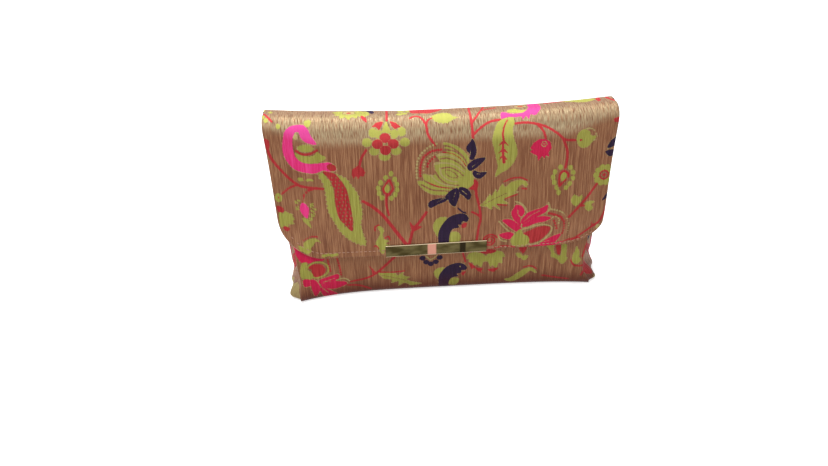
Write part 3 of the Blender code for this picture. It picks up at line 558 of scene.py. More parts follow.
def left_edge(weave):
    """The drop, flower, stems and leaves along the left edge."""
    petals = [(-99.5, 86), (-98.3, 82), (-99, 78.2), (-101, 75), (-109.8, 89), (-110, 84)]
    for centre in petals:
        oval(weave, "lime", centre, (2.2, 1.5), 20, "base", 0.3)
        oval(weave, "base", centre, (1.2, 0.6), 20)
    drop = [
        (-108, 85.5), (-106.5, 88), (-104, 87), (-102, 83.5), (-102.3, 79), (-104, 75.5), (-106.5, 78.5),
        (-108.3, 82)
    ]
    edged(weave, "magenta", drop, 0.4)
    fill(
        weave, "lime", [(-107.5, 76), (-104, 75), (-102, 71.5), (-101.3, 67.5), (-104, 70.5), (-106.5, 73.5)]
    )
    stem(
        weave, [(-128, 137), (-127, 128.5), (-125, 122), (-120.5, 115), (-114.5, 107.5), (-109, 102.5),
        (-103.5, 100), (-90, 98)], 2.0, 1.7
    )
    fill(weave, "red", [(-129, 137), (-125.5, 136.5), (-125.8, 131), (-128, 130.5)])
    stem(weave, [(-109, 102), (-115, 99.5), (-120.5, 95.5)], 1.6)
    stem(weave, [(-96.5, 98.5), (-101, 97), (-104.5, 93.5), (-105.5, 88.5)], 1.5)
    oval(weave, "lime", (-106, 106), (2.2, 1.4), 0)
    fill(weave, "lime", [(-102.5, 104), (-101, 106), (-98, 106), (-96, 103.8), (-99, 104.6)])
    oval(weave, "lime", (-123.5, 92.5), (2.6, 3.4), 8, "base")
    oval(weave, "red", (-123.5, 92.5), (0.7, 1.3), 8)
    fill(weave, "red", [(-125.5, 86), (-121.5, 85), (-120.5, 82), (-123, 80.5), (-125, 82)])
    for tip in (
        (-124, 68.5), (-119, 68.5), (-114, 71.5), (-112.8, 75.5), (-114, 79.5), (-119, 82), (-124, 81)
    ):
        petal(weave, "lime", (-121, 75.5), tip, 4.2, "gold", 0.6, 0.3)
    oval(weave, "lime", (-121, 75.5), (4.0, 3.8))
    fill(weave, "red", [(-122.5, 69), (-120, 69.5), (-117.5, 68), (-119, 65.5), (-121.5, 66.5)])
    leaf_edge = [
        (-94, 52), (-96.5, 56.5), (-100, 58.5), (-104.5, 57.5), (-108.5, 54), (-109, 51), (-113, 52),
        (-112, 49)
    ]
    fill(
        weave, "lime", leaf_edge + [(-115.5, 47.5), (-109.5, 47), (-107, 44.5), (-102.5, 47), (-104.5, 48),
        (-101.5, 52), (-99, 55.5), (-96, 55)]
    )
    stem(weave, [(-108.5, 57), (-102.5, 60), (-97.5, 60)], 1.1)
    for place in ((-94, 42.4), (-91, 43.2), (-87.5, 42.4), (-84.5, 43)):
        oval(weave, "lime", place, (1.7, 1.3))


def top_edge(weave):
    """Parts of motifs that the top fold and the strip behind it show."""
    for angle in range(-90, 91, 30):
        way = np.array([math.sin(math.radians(angle)), -math.cos(math.radians(angle))])
        root = np.array([-68.0, 162.0])
        petal(weave, "lime", root + way * 2, root + way * 12.0, 5.4, "base", 0.6, 0.3)
    oval(weave, "gold", (-68, 161), (4.4, 3.4), 0, "base")
    oval(weave, "red", (-68, 161), (1.8, 1.2))
    for tip in ((-60, 153), (-56.5, 152), (-53.5, 155), (-53, 161)):
        petal(weave, "lime", (-57.5, 162), tip, 4.2, None)
    edged(weave, "purple", [(-62.5, 167), (-58.5, 170), (-53, 168), (-49.5, 162), (-51.5, 158.5), (-55, 164)])
    petal(weave, "red", (-59, 155), (-55, 147), 3.0, None)
    for place in ((-30, 162), (-27.5, 157.5), (-24, 162), (-31, 156)):
        oval(weave, "lime", place, (2.4, 2.0), 0, "base", 0.3)
    for tip, width in (((-25, 170), 7), ((-15, 175), 8), ((-5, 176), 8), ((3, 169), 7)):
        petal(weave, "red", (-12, 157), tip, width, "gold", 0.6, 0.4)
    edged(weave, "red", [(-22.5, 164), (-15, 166), (-3.5, 165), (-8, 158.5), (-15.5, 157), (-22, 158)])
    leaf_top = [
        (-8, 149.5), (-3.5, 154), (1, 156), (5.5, 154), (7.5, 149.5), (12, 148.5), (7.5, 147), (3.5, 144.3),
        (-4, 145)
    ]
    fill(weave, "lime", toothed(leaf_top, 0.5, 3.0), False, "gold", 0.3)
    stem(
        weave, [(-23.5, 149.5), (-20.5, 151.5), (-17, 151), (-14, 147), (-12, 142), (-11.5, 137.5),
        (-9.5, 133), (-6, 127.5)], 1.6
    )
    stem(weave, [(-12, 143.5), (-10.5, 147), (-7.5, 149)], 1.3)
    stem(weave, [(21.5, 170), (20.7, 158), (20.5, 148.5), (21, 141), (21.8, 132)], 1.4, 1.9)
    stem(weave, [(21, 143), (25.5, 149.5), (31, 161), (35, 172)], 1.4)
    stem(weave, [(30, 157.5), (34.5, 159.5), (41, 161.5)], 1.3)
    stem(weave, [(22, 134.5), (25.5, 138), (31, 142), (36.5, 144.2), (42, 144.8)], 1.6)
    for tip in ((94.5, 170), (100, 172), (106, 172.5), (112, 171), (116, 167)):
        petal(weave, "lime", (105, 162), tip, 4.5, "gold", 0.6, 0.3)
    stroke(weave, "lime", [(93, 167), (104, 166), (115, 166)], 4.0, 3.0)
    stem(weave, [(78, 165), (87, 166), (94, 167)], 1.6)
    petal(weave, "red", (118.5, 170), (117.5, 160), 3.4, None)
    stem(weave, [(126, 176), (125, 168), (128, 160)], 2.0)
    stem(weave, [(-129.5, 161), (-126, 155.5), (-122.5, 150.5)], 1.4)
    for place in ((-129, 155), (-126.5, 151.5), (-130, 167), (-124.5, 163), (-118, 146.5)):
        oval(weave, "lime", place, (1.5, 2.0))


def striped_lotus(weave):
    """The large lime and gold lotus in the middle, its petals drawn as lines, with its dark leaves."""
    back = [
        (0, 129), (7, 127.5), (14, 123), (18.5, 117.5), (19.5, 111), (21.5, 104.5), (23, 99), (21, 95),
        (16, 93.5)
    ]
    front = [
        (9.5, 93.5), (4, 90.5), (-1.5, 89.5), (-9, 90.5), (-15, 94), (-19.5, 100), (-14.5, 100.5),
        (-15, 105.5)
    ]
    edged(
        weave, "lime", back + front + [(-8.5, 104), (-5.5, 106.5), (-6.5, 113.5), (-2, 114.5), (-4.5, 120),
        (2.5, 121.5)], 0.4
    )
    lines = [
        [(-4.5, 119.4), (2.5, 119.6), (10.5, 116.3), (18, 108.5)],
        [(0.5, 124.2), (9, 122), (15, 117), (18.5, 111)],
        [(-2, 127), (5, 126), (12, 121), (17, 115)],
        [(-6, 113), (0, 113.6), (8, 111.8), (16.5, 105.5)],
        [(-2, 117), (4, 117), (11, 113.6), (17, 107.5)],
        [(-2, 109.5), (4.5, 110), (10.5, 107.3), (15, 103)],
        [(-2.5, 109.5), (-1, 104), (5, 99.8), (11.5, 98.5)],
        [(-6, 107), (-2, 101), (4, 97), (12, 96)],
        [(-14, 100.3), (-7, 96.5), (1.5, 94.6), (9.5, 94)],
        [(-9.5, 104.5), (-5, 100), (1, 97), (8, 95.5)],
        [(-16.5, 97.5), (-9, 93.6), (-1, 92.4), (5, 92)],
    ]
    for k, line in enumerate(lines):
        stroke(weave, "base" if k % 3 else "gold", line, 1.5, 1.1)
    stem(weave, [(0, 121.9), (7, 120.4), (13, 116.2), (17, 110.5)], 0.9)
    stem(weave, [(-11, 99), (-4, 95.8), (4, 94)], 0.9)
    fill(weave, "base", [(1, 108.4), (5, 108), (9, 105.6), (11.5, 102), (7, 101.5), (2.5, 104)])
    fill(weave, "lime", [(2, 107.6), (5.5, 106.8), (8.5, 104.6), (10, 102.6), (6.5, 102.6), (3.2, 104.6)])
    dots(
        weave, "gold", [(-5, 128.5), (-9, 127), (-13.5, 124), (-18, 118.5), (-19.8, 111), (-19.8, 103)], 0.85,
        2.5
    )
    dots(weave, "red", [(-1.5, 124), (-8.5, 123), (-14.5, 118.5), (-17, 111), (-17.3, 102.5)], 0.95, 2.1)
    dots(weave, "gold", [(-5.5, 121), (-11, 118), (-14.3, 112.5), (-14.8, 108)], 0.6, 2.4)
    dots(weave, "red", [(-6.5, 118.5), (-10.5, 114.8), (-12.2, 110)], 0.9, 2.3)
    edged(
        weave, "lime", [(17, 107.5), (21, 104), (23, 99), (21, 95), (16, 93.3), (12, 96.3), (11, 101),
        (15.5, 102.6)]
    )
    fill(weave, "red", [(23, 100), (26.2, 97.5), (25.2, 92.3), (21.5, 92.3), (19.5, 93.6), (22.3, 96)])
    shapes = [
        [
            (21.5, 131.5), (24, 126), (24.5, 120.5), (22.5, 115.5), (19.5, 115.5), (20, 119), (17.5, 122.5),
            (17.5, 126), (20, 129)
        ],
        [(31.5, 116.2), (28, 111.5), (23.5, 108), (19.5, 106.8), (18, 110.7), (21.5, 114), (25, 115.8)],
        [(32.5, 105.2), (30.5, 102.3), (27, 100.3), (23.5, 101.8), (22, 104.8), (23.5, 106.7), (27, 105.2)],
        [(11.5, 94), (15, 94.3), (19, 92), (20.8, 88), (18.5, 84.7), (15, 88), (12.5, 90)],
        [(10, 94), (4.5, 91.5), (3, 88), (4.5, 83), (8.2, 80), (10.8, 85), (12, 89.5)],
        [
            (3.5, 91), (0.5, 87.5), (-5, 86.5), (-10, 85), (-12, 82), (-10, 79.7), (-5.5, 81.8), (0.5, 84),
            (2.7, 86)
        ],
    ]
    veins = [
        [(19.6, 118), (20.8, 124)],
        [(21.5, 109.5), (27, 113.5)],
        [(25, 104), (29.5, 103.6)],
        [(14, 92), (17.8, 88.5)],
        [(9, 91), (6.8, 85)],
        [(1, 87), (-6, 83.6)],
    ]
    for shape, vein in zip(shapes, veins):
        edged(weave, "purple", shape)
        stroke(weave, "gold", vein, 0.8, 0.5)
    stem(weave, [(24.5, 92), (25, 87), (26.5, 82), (27.7, 75), (28, 69), (26.5, 61), (25.5, 46)], 1.9, 1.6)
    stem(weave, [(21.5, 75.3), (24.5, 73.7), (27.5, 71.5)], 1.5)


def toothed_leaf(weave):
    """The leaf with long points, right of the middle."""
    above = [
        (27.5, 80), (31.5, 83), (35, 88), (36.5, 86), (39.5, 91.5), (40.5, 88.5), (44.5, 95.5), (47, 92.5)
    ]
    end = [
        (51.5, 96.5), (57.5, 98), (62, 97), (64, 94.5), (63, 92.5), (60, 95), (57.5, 93.5), (55.5, 90.5),
        (52, 88)
    ]
    below = [(57, 89), (44.5, 83.5), (49.5, 80.3), (39, 81), (43, 76), (37, 80), (36.5, 76.5), (32.5, 79)]
    fill(weave, "lime", above + end + below, False, "gold", 0.4)
    stem(weave, [(46, 97.2), (51.5, 99.3), (58, 99.8), (63.5, 97.5)], 1.0)
    stem(weave, [(56, 87), (47, 84.5)], 0.9)
    stem(weave, [(48, 79), (41, 80)], 0.9)
    stem(weave, [(59.5, 91.5), (63, 91)], 1.0)
    stroke(weave, "base", [(29.5, 80.3), (40, 85), (48, 88.5)], 0.9)


def dark_hook(weave):
    """The dark curled form above the bar, with lime crescents."""
    edged(
        weave, "lime", [(-4.5, 55), (-7, 59.5), (-8.4, 64.5), (-6.7, 69.3), (-2.5, 72), (2.5, 71), (-1, 66.5),
        (-3, 61.5)]
    )
    edged(
        weave, "lime", [(4, 56.5), (6.5, 59.2), (10.5, 58.7), (12.7, 55), (12.3, 50.5), (8, 48.5), (3.5, 49)]
    )
    hook = [
        (-3.5, 48), (-4.5, 57), (-3, 63), (1, 69), (5.5, 72.5), (11.5, 74.3), (16, 73.7), (18.8, 70.7),
        (17.7, 67.7)
    ]
    edged(
        weave, "purple", hook + [(14, 68), (13, 65.3), (10.5, 65.5), (11.5, 63), (7.5, 62.3), (5, 59.5),
        (4, 54.5), (3, 47.5)]
    )
    fill(weave, "red", [(13.5, 65.2), (17.2, 66.8), (16.7, 63), (14, 62.6)])
    stroke(weave, "purple", [(11, 78.5), (13.5, 76), (16.7, 74.6)], 1.1)


def spiral(weave, centre, radius):
    """A curl of red thread that closes in on its centre."""
    angle = np.linspace(0.4, 0.4 + 4.2 * math.pi, 34)
    reach = radius * (1.0 - 0.8 * (angle - angle[0]) / (angle[-1] - angle[0]))
    line = np.stack([centre[0] + reach * np.cos(angle), centre[1] + reach * np.sin(angle)], 1)
    stroke(weave, "red", line, 1.4, 1.0, False)


def pink_crest(weave):
    """The pink crest at the upper right, with a barbed leaf hanging from it."""
    left = [
        (42.5, 146.5), (43, 150.5), (45, 152), (50, 149.7), (55.5, 149.7), (60, 150.7), (64.5, 157),
        (65, 163.5)
    ]
    right = [
        (67.5, 168), (71, 168), (73.5, 163), (73, 155), (70, 149.5), (67.5, 147.5), (64.5, 148), (62.5, 144.3)
    ]
    edged(
        weave, "magenta", left + right + [(61, 147.3), (58.5, 144.2), (57.5, 146.8), (53, 146.3), (48, 146.8),
        (44, 145)]
    )
    edged(
        weave, "lime", [(48, 153.5), (53.5, 157.5), (58, 153.6), (62.5, 154), (59, 150.7), (53.5, 150.8),
        (49.5, 151.5)]
    )
    oval(weave, "gold", (59.5, 161.5), (4.2, 2.4))
    oval(weave, "red", (59.5, 161.5), (2.4, 1.1))
    outer = [
        (47, 146), (42.5, 144.5), (39, 141), (37, 135), (36.3, 128.5), (38.2, 121.5), (40, 114), (41, 108.5),
        (39, 101.5)
    ]
    edged(
        weave, "lime", outer + [(44, 104.5), (48.7, 107), (52.7, 111.5), (55.2, 118), (54.2, 124.5),
        (51.7, 131.5), (50.7, 137), (51.7, 141.5), (51.5, 146)]
    )
    stem(
        weave, [(47.2, 144.5), (44.7, 140), (43.7, 134.5), (44.5, 129), (44.2, 123.5), (44.7, 117.5),
        (45.5, 112)], 1.3, 2.6
    )
    for level, reach in ((128.5, 2.9), (122.5, 2.8), (117.2, 2.6)):
        stem(weave, [(44.5, level), (44.0 - reach, level - 3.2)], 2.0, 0.9)
        stem(weave, [(44.5, level), (45.2 + reach, level - 3.4)], 2.0, 0.9)


def right_flowers(weave):
    """The bud, round leaf, flowers and stems at the right."""
    arc = [
        (52.5, 141.5), (60, 142), (67, 141), (74, 139), (80.5, 135.5), (87.5, 130), (91, 124), (93, 117.5),
        (93, 111.5)
    ]
    stem(weave, arc + [(91.8, 104.5)], 1.5, 1.8)
    stem(weave, [(69.5, 139.8), (73, 136), (75, 132), (76, 128)], 1.6)
    stem(weave, [(87, 130.3), (91, 127.6), (98.5, 127)], 1.6)
    bud = [
        (75.5, 129), (79.5, 126.5), (80.7, 121.5), (78.5, 118), (79.7, 114.8), (77, 116), (75.7, 113.7),
        (74, 116)
    ]
    fill(
        weave, "crimson", bud + [(71.5, 112), (70, 116.5), (67.5, 117.5), (64.7, 119.3), (67, 121),
        (64.7, 121.7), (67, 126), (71, 128.7)], False, "gold", 0.3
    )
    for radius, colour in ((2.5, "gold"), (1.5, "crimson"), (0.7, "gold")):
        oval(weave, colour, (75, 125), (radius, radius))
    round_leaf = [
        (99, 128.5), (100.5, 133), (104, 135), (108, 133.5), (109.5, 130), (113.5, 129.7), (110.5, 125),
        (108, 122)
    ]
    edged(weave, "lime", round_leaf + [(104.5, 121), (101, 122.8)])
    oval(weave, "red", (102.5, 127), (1.3, 1.3))
    stroke(weave, "gold", [(105.5, 136), (110.5, 135), (114.3, 129.5)], 0.8)
    stroke(weave, "gold", [(111, 126.6), (113.5, 126.6)], 0.8)
    petals = [
        (88.5, 106.5), (96, 106), (84.5, 103), (98.4, 102), (83.3, 99), (98.4, 97.8), (84.3, 95), (96.2, 93.7)
    ]
    outline = [(91.5, 104.3), (95, 102), (95.3, 98.5), (91.7, 94.7), (88.3, 91.3), (87.3, 97), (88, 102)]
    drop_flower(
        weave, outline, [(91.5, 102.5), (93.5, 100), (91.5, 96.5), (89.6, 96), (89.4, 100)],
        petals + [(86.4, 91), (93.5, 90.6), (88, 87)]
    )
    for angle in range(0, 360, 36):
        way = np.array([math.cos(math.radians(angle)), math.sin(math.radians(angle))])
        oval(weave, "lime", np.array([122.5, 99.0]) + way * 6.2, (2.3, 2.3), 0, "base", 0.3)
    oval(weave, "red", (122.5, 99), (4.0, 4.0))
    oval(weave, "base", (122.5, 99), (2.8, 2.8))
    oval(weave, "red", (122.5, 99), (1.2, 1.2))
    edged(weave, "purple", [(130, 129.5), (125, 125.7), (122.7, 120.3), (127, 121), (129.5, 123.5)])
    edged(weave, "purple", [(121.5, 117.3), (126, 118.7), (129.5, 117), (128, 114.5), (125, 113.6)])
    fill(weave, "purple", [(128.5, 86), (125, 83), (122.7, 78.5), (126.5, 81)])
    fill(weave, "red", [(125.5, 142.5), (130, 143.5), (130, 140), (126, 140.2)])
    first = [(98, 81), (100.5, 84.8), (103.5, 82.5), (106.8, 84.5), (105.5, 79), (102, 75.7), (99, 78)]
    second = [(108.8, 76.7), (112.5, 78.7), (116.5, 78.2), (114, 76), (115.8, 73), (113, 70.7), (110.3, 72.5)]
    for points in (first, second):
        edged(weave, "lime", points)
    stem(weave, [(117.5, 92.5), (112, 84.5), (106, 76.7), (96, 65.5)], 1.6, 1.9)
    stem(weave, [(104.5, 75.3), (109.5, 75.5)], 1.2)
    stem(weave, [(127, 76), (125, 67.5), (122, 61), (116.5, 56.5), (110.5, 51.5), (101.5, 45.5)], 1.9, 1.5)
    fill(weave, "red", [(114.5, 63.7), (116, 59.5), (116.5, 56), (120, 57), (117.8, 58.6)], False)
    oval(weave, "gold", (121.8, 56.3), (1.9, 1.9))
    spiral(weave, (36, 49.5), 6.0)


def pink_lotus(weave):
    """The big lotus at the lower right."""
    dots(weave, "red", [(81, 71), (86, 69.5), (91, 67), (93.8, 62), (94.3, 56.5), (93, 51)], 1.0, 2.2)
    dots(
        weave, "gold", [(83, 74.2), (87.5, 73), (92, 70.7), (95.7, 66), (97.7, 59.5), (98.2, 49.5)], 0.75, 2.3
    )
    dots(weave, "gold", [(80.5, 65), (83.5, 67), (87, 68), (89.7, 65), (89, 60)], 0.7, 2.4)
    dots(weave, "red", [(85.5, 64.5), (87, 61), (88.6, 56.5)], 0.9, 2.5)
    petals = [
        [
            (55.5, 79), (59.5, 78), (62, 74), (60.7, 70.5), (58.7, 67.5), (59.5, 62), (57, 63.5),
            (53.3, 68.5), (51.8, 73), (53.8, 76.7)
        ],
        [
            (80, 78), (79.2, 73), (75, 70.3), (69.5, 67.7), (64.5, 65.2), (61, 63), (59.7, 66.5),
            (64.5, 72.2), (70, 74.3), (75.5, 75.8)
        ],
        [
            (83, 67.2), (78, 64.3), (72.5, 63.7), (66, 61.2), (63, 59.3), (60.7, 62), (66.5, 65.7),
            (72, 68.2), (77, 68.9)
        ],
        [
            (45, 67.2), (50.5, 67.8), (55, 65.3), (59, 61.2), (60.7, 57.8), (57.5, 56.2), (52.5, 59.7),
            (48.5, 63.3)
        ],
        [(43, 54.5), (47.5, 56.3), (52, 56.3), (54.7, 54.3), (53.5, 50.8), (49.5, 49.8), (45.5, 51.7)],
        [(92.5, 52), (89.7, 46.3), (85, 43), (78, 41.3), (75.5, 44), (80.5, 47.3), (86.5, 50.4)],
    ]
    for points in petals:
        edged(weave, "crimson", points, 0.45)
    stroke(weave, "crimson", [(69, 42.2), (80, 41.6), (96, 44.8)], 2.6, 1.2)
    stroke(weave, "gold", [(56.7, 74.8), (57.4, 71), (59.3, 69)], 0.8)
    stroke(weave, "gold", [(61.3, 65), (67, 70), (74, 73.6)], 0.8)
    stroke(weave, "gold", [(79, 45), (84, 46.6)], 0.7)
    fill(
        weave, "base", [(60.3, 58.6), (66, 61), (71.5, 62.6), (79, 62.7), (85.2, 59.4), (85, 53),
        (80.8, 47.4), (74, 43.3), (66, 43.5)]
    )
    fill(
        weave, "gold", [(60.6, 58), (66, 60.5), (71.5, 62), (79, 62), (84.5, 59), (84.3, 53.3), (80.3, 48),
        (74, 44), (66, 44)]
    )
    fill(
        weave, "base", [(61.2, 56.8), (66.3, 59), (72, 60.9), (78.8, 61), (83.7, 59), (83.5, 54.5),
        (79.7, 49), (74, 45.2), (67, 45)]
    )
    fill(
        weave, "red", [(62, 54), (67, 57), (72.5, 59.6), (78.5, 60.3), (82.8, 58.8), (82.6, 55), (79.2, 50),
        (74, 46.3), (68, 45.3), (66.3, 50)]
    )
    edged(
        weave, "lime", [(59.5, 58.7), (62, 54), (66.2, 51), (67.2, 46.5), (64.5, 43), (58.5, 42.6),
        (54, 44.6), (52.8, 49.5), (55, 53.7)]
    )
    for curl in (
        [(55, 81.5), (59.5, 79.8), (62.7, 76), (63.7, 73)], [(80.5, 79.7), (81.7, 75), (79.5, 70.7)],
        [(42.3, 66.7), (47, 61), (50.5, 57.5)]
    ):
        stroke(weave, "gold", curl, 0.9)
    stroke(weave, "gold", [(42.3, 52.7), (45, 49), (49.5, 47.7)], 0.9)
    stem(weave, [(40.5, 42.2), (48, 43.7), (56, 42.3)], 1.3)
    stem(weave, [(94.5, 44.5), (99.5, 46.5), (108, 47)], 1.2)


def flap_pattern(weave):
    for motif in (top_edge, left_edge, small_flowers, rosette, serrated_tail, crested_hook, striped_lotus):
        motif(weave)
    for motif in (toothed_leaf, dark_hook, right_flowers, pink_crest, pink_lotus):
        motif(weave)


# Motifs of the front below the flap


def front_lotus(weave):
    """The pink lotus at the front's left end."""
    fill(
        weave, "crimson", [(-117, 48), (-114, 37), (-110, 34.7), (-103.5, 34), (-97, 34.7), (-93, 38),
        (-96, 46)]
    )
    oval(weave, "base", (-100.5, 27.8), (9.9, 7.6))
    oval(weave, "lime", (-100.5, 27.8), (9.3, 7.0))
    oval(weave, "base", (-100.5, 27.8), (8.2, 6.0))
    fill(
        weave, "red", [(-107.5, 31), (-102.5, 32.7), (-97, 31.7), (-94.3, 27.2), (-96.7, 23.3),
        (-101.5, 21.8), (-105, 24), (-105, 28.5)]
    )
    base_left = [
        (-112.5, 34), (-108.5, 34.7), (-109, 31), (-110.5, 29.7), (-107, 27.7), (-104.3, 23.5), (-107.5, 21)
    ]
    edged(weave, "lime", base_left + [(-112.5, 22.5), (-114, 27)])
    petals = [
        [(-112, 21.5), (-106.5, 20.3), (-106.3, 16), (-111.5, 15.7)],
        [(-106, 20.5), (-102.3, 18.7), (-99.7, 13), (-100.8, 8.3), (-104, 5), (-106, 11), (-106.5, 16)],
        [(-100, 18.7), (-93, 20.7), (-84.7, 22.2), (-84.7, 18), (-89, 15.8), (-93.5, 15.3), (-98.5, 14.8)],
        [(-98.5, 15), (-89.5, 16), (-80, 14.7), (-78.5, 12), (-84.5, 9.8), (-90, 9.3), (-97, 11.8)],
        [(-99.5, 12), (-94, 9.7), (-86, 3), (-91, 0.5), (-96, 1.5), (-98.5, 6)],
    ]
    for points in petals:
        edged(weave, "crimson", points, 0.45)
    stroke(weave, "gold", [(-97, 16.7), (-88, 18.7)], 0.8)
    stroke(weave, "gold", [(-97.5, 11), (-93.5, 6)], 0.8)
    stroke(weave, "gold", [(-86.5, 17.2), (-80, 17.6), (-75.5, 14.5)], 0.9)
    for line in ([(-92, 36), (-91, 28.5), (-90.3, 24)], [(-84.5, 36), (-83, 28), (-82.3, 21)]):
        dots(weave, "red", line, 0.85, 2.1)


def front_left(weave):
    """The stems, the leaf and the dark hook from the left to the middle."""
    stem(weave, [(-75, 14), (-63.5, 15.5), (-55.5, 19), (-48.5, 25), (-39, 34.5)], 1.4, 2.1)
    fill(weave, "red", [(-60, 28), (-57.8, 23), (-57, 17.5), (-54, 20), (-56.6, 23.6)], False)
    above = [
        (-52.5, 19.5), (-45.5, 19.5), (-38.5, 18.5), (-37.5, 15.7), (-32, 19.5), (-33.3, 16), (-27, 14),
        (-30.5, 12)
    ]
    below = [
        (-26, 9.5), (-17.5, 7.5), (-26, 6), (-31, 9.3), (-36.5, 6.5), (-36, 11.3), (-42, 9.5), (-42, 13.3),
        (-48, 14)
    ]
    fill(weave, "lime", above + below, False, "gold", 0.4)
    stem(weave, [(-53, 21), (-42.5, 20), (-31, 20.5)], 1.0)
    stroke(weave, "base", [(-50, 17.5), (-40, 14.5), (-30, 11)], 0.8)
    stem(weave, [(-78, 11), (-68.5, 9.5), (-59, 5)], 1.4)
    for centre in ((-16.5, 32), (-13.5, 28), (-9.8, 26.2), (-5.8, 28), (-2.8, 32)):
        oval(weave, "purple", centre, (2.4, 2.2), 0, "base", 0.3)
    stroke(weave, "gold", [(-14, 34), (-9.8, 30.4), (-5, 34)], 0.9)
    edged(weave, "lime", [(-3.5, 11), (-6.7, 14.5), (-6.9, 18.7), (-3.5, 21.5), (1, 21.5), (-2.3, 16.5)])
    edged(weave, "lime", [(5, 6), (7, 10.7), (12.7, 10.7), (12.7, 7), (9.5, 3.5)])
    hook = [
        (-2.5, 2), (-3.5, 11), (-1.5, 17), (3, 22.5), (9, 25.3), (15, 25.3), (19.3, 21.7), (18.7, 18.7),
        (15, 18.3)
    ]
    edged(weave, "purple", hook + [(15, 16), (11, 15), (12.5, 12.8), (7, 11.3), (4.5, 7), (4.5, 2)])
    fill(weave, "red", [(15.3, 15.8), (18.8, 17.2), (16.5, 13)])
    oval(weave, "gold", (14, 22), (0.8, 0.8))


def front_right(weave):
    """The two cut flowers, the stems and the leaves at the right."""
    for root, tips in (
        ((28, 34), ((19, 30), (21.5, 26), (26, 22.5), (31, 20.5), (34, 26))), ((41, 34), ((35, 26),
        (39, 20.5), (43.5, 19), (48, 23.5), (50, 30)))
    ):
        for tip in tips:
            petal(weave, "lime", root, tip, 6.0, "gold", 0.6, 0.3)
    oval(weave, "red", (36.5, 35.5), (6.5, 2.2))
    for points in (
        [(20.5, 26), (23, 24.5), (26.5, 21), (23.5, 18.7)], [(26, 20.3), (33, 19), (31, 16), (35, 13.5),
        (28.5, 16.7)], [(36.5, 18), (46, 19), (42, 15), (38, 16)]
    ):
        fill(weave, "red", points, False)
    stem(weave, [(16, 35), (18.2, 26.5)], 1.3)
    for points in (
        [(59, 32), (62, 32.3), (64.2, 29.5), (61.7, 28)], [(64, 29.3), (69, 29.3), (67.7, 25.7), (64.7, 26)]
    ):
        edged(weave, "lime", points)
    fill(weave, "red", [(61, 38), (67.5, 38), (65, 32)])
    outside = [
        (83, 40), (89, 39), (89.7, 32.7), (92, 29.7), (94.5, 28), (96.3, 29.7), (96.3, 38), (100, 38),
        (100.3, 28)
    ]
    edged(weave, "lime", outside + [(101.3, 25.7), (99, 21.5), (96, 21.5), (93.3, 25.3), (88, 28), (88, 32)])
    fill(weave, "red", [(91.3, 38), (95.2, 38), (95, 29.7), (93, 30.7)], True, "base", 0.3)
    edged(
        weave, "lime", [(108.5, 36), (111, 30), (110.7, 27), (112.3, 24), (109.5, 21), (105.7, 22.7),
        (105.7, 28), (107.3, 31.5)]
    )
    stem(weave, [(104.5, 24), (107, 19.7), (112, 19), (117.5, 21)], 1.3)
    stem(weave, [(113.5, 27), (115, 33), (117, 40)], 1.1)
    stem(weave, [(117.5, 18.5), (113.5, 10.5)], 1.7)
    low = [
        (51, 7), (56, 8.7), (62, 13.2), (67.5, 16.8), (73.5, 17.2), (77.3, 12.3), (72, 14.7), (68, 11.3),
        (63.5, 7.7)
    ]
    edged(weave, "lime", low + [(57, 4.5)])
    stem(weave, [(66, 18.4), (72, 19.4), (77, 16.5)], 1.0)
    stem(weave, [(82, 10), (92, 8), (104, 6)], 1.2)


def front_pattern(weave):
    for motif in (front_lotus, front_left, front_right):
        motif(weave)


# The pieces of cloth


def wrap_steps():
    """Inset and depth of the cloth as it turns round an edge, from the outer face to the inner one."""
    round_edge = HEM_THICKNESS / 2
    turns = np.radians(np.linspace(0.0, 180.0, 9))
    steps = [(round_edge - round_edge * math.sin(a), round_edge - round_edge * math.cos(a)) for a in turns]
    return steps + [(inset, HEM_THICKNESS) for inset in np.linspace(round_edge, HEM_WIDTH, 8)[1:]]


STRIP_FRONT = -(FRONT_TOP_DEPTH + FLAP_STANDOFF_TOP - FRONT_FOLD_RADIUS)
OVER_LENGTH = FRONT_FOLD_RADIUS * math.pi / 2 - STRIP_FRONT


def over_top(share, length, depth):
    """Points over the front fold and the top strip, at a length past the fold's start and a depth."""
    centre_z = top_level(share) - FRONT_FOLD_RADIUS
    angle = np.clip(length / FRONT_FOLD_RADIUS, 0.0, math.pi / 2)
    flat = np.clip(length - FRONT_FOLD_RADIUS * math.pi / 2, 0.0, None)
    radius = FRONT_FOLD_RADIUS - depth
    return STRIP_FRONT - radius * np.cos(angle) + flat, centre_z + radius * np.sin(angle)


def flap_columns(inset, corner_steps, middle_steps):
    """Places across the flap, closer together in its rounded corners."""
    corner = FLAP_CORNER_WIDTH - inset
    straight = BAG_WIDTH / 2 - FLAP_CORNER_WIDTH
    turns = np.sin(np.linspace(0.0, math.pi / 2, corner_steps + 1))
    right = straight + corner * turns
    middle = np.linspace(-straight, straight, middle_steps + 1)
    return np.concatenate([-right[::-1], middle[1:-1], right])


def flap_place(x, level_or_length, over, depth):
    """Points of the flap from the nominal place across, and a height or a length over the top."""
    share = x / (BAG_WIDTH / 2)
    fold_level = top_level(share) - FRONT_FOLD_RADIUS
    level = np.where(over, fold_level, level_or_length)
    face_y = -flap_depth(share, level) + depth
    over_y, over_z = over_top(share, np.where(over, level_or_length, 0.0), depth)
    y = np.where(over, over_y, face_y)
    z = np.where(over, over_z, level)
    along = np.where(over, fold_level + level_or_length, level)
    wide = share * flap_half_width(np.minimum(z, BAG_HEIGHT))
    to_edge = np.clip((fold_level + OVER_LENGTH - along) / SEAM_FADE, 0.0, 1.0)
    y = y + ripples(wide, along) * np.where(over, 0.4 * to_edge, 1.0)
    return wide, y, z, along


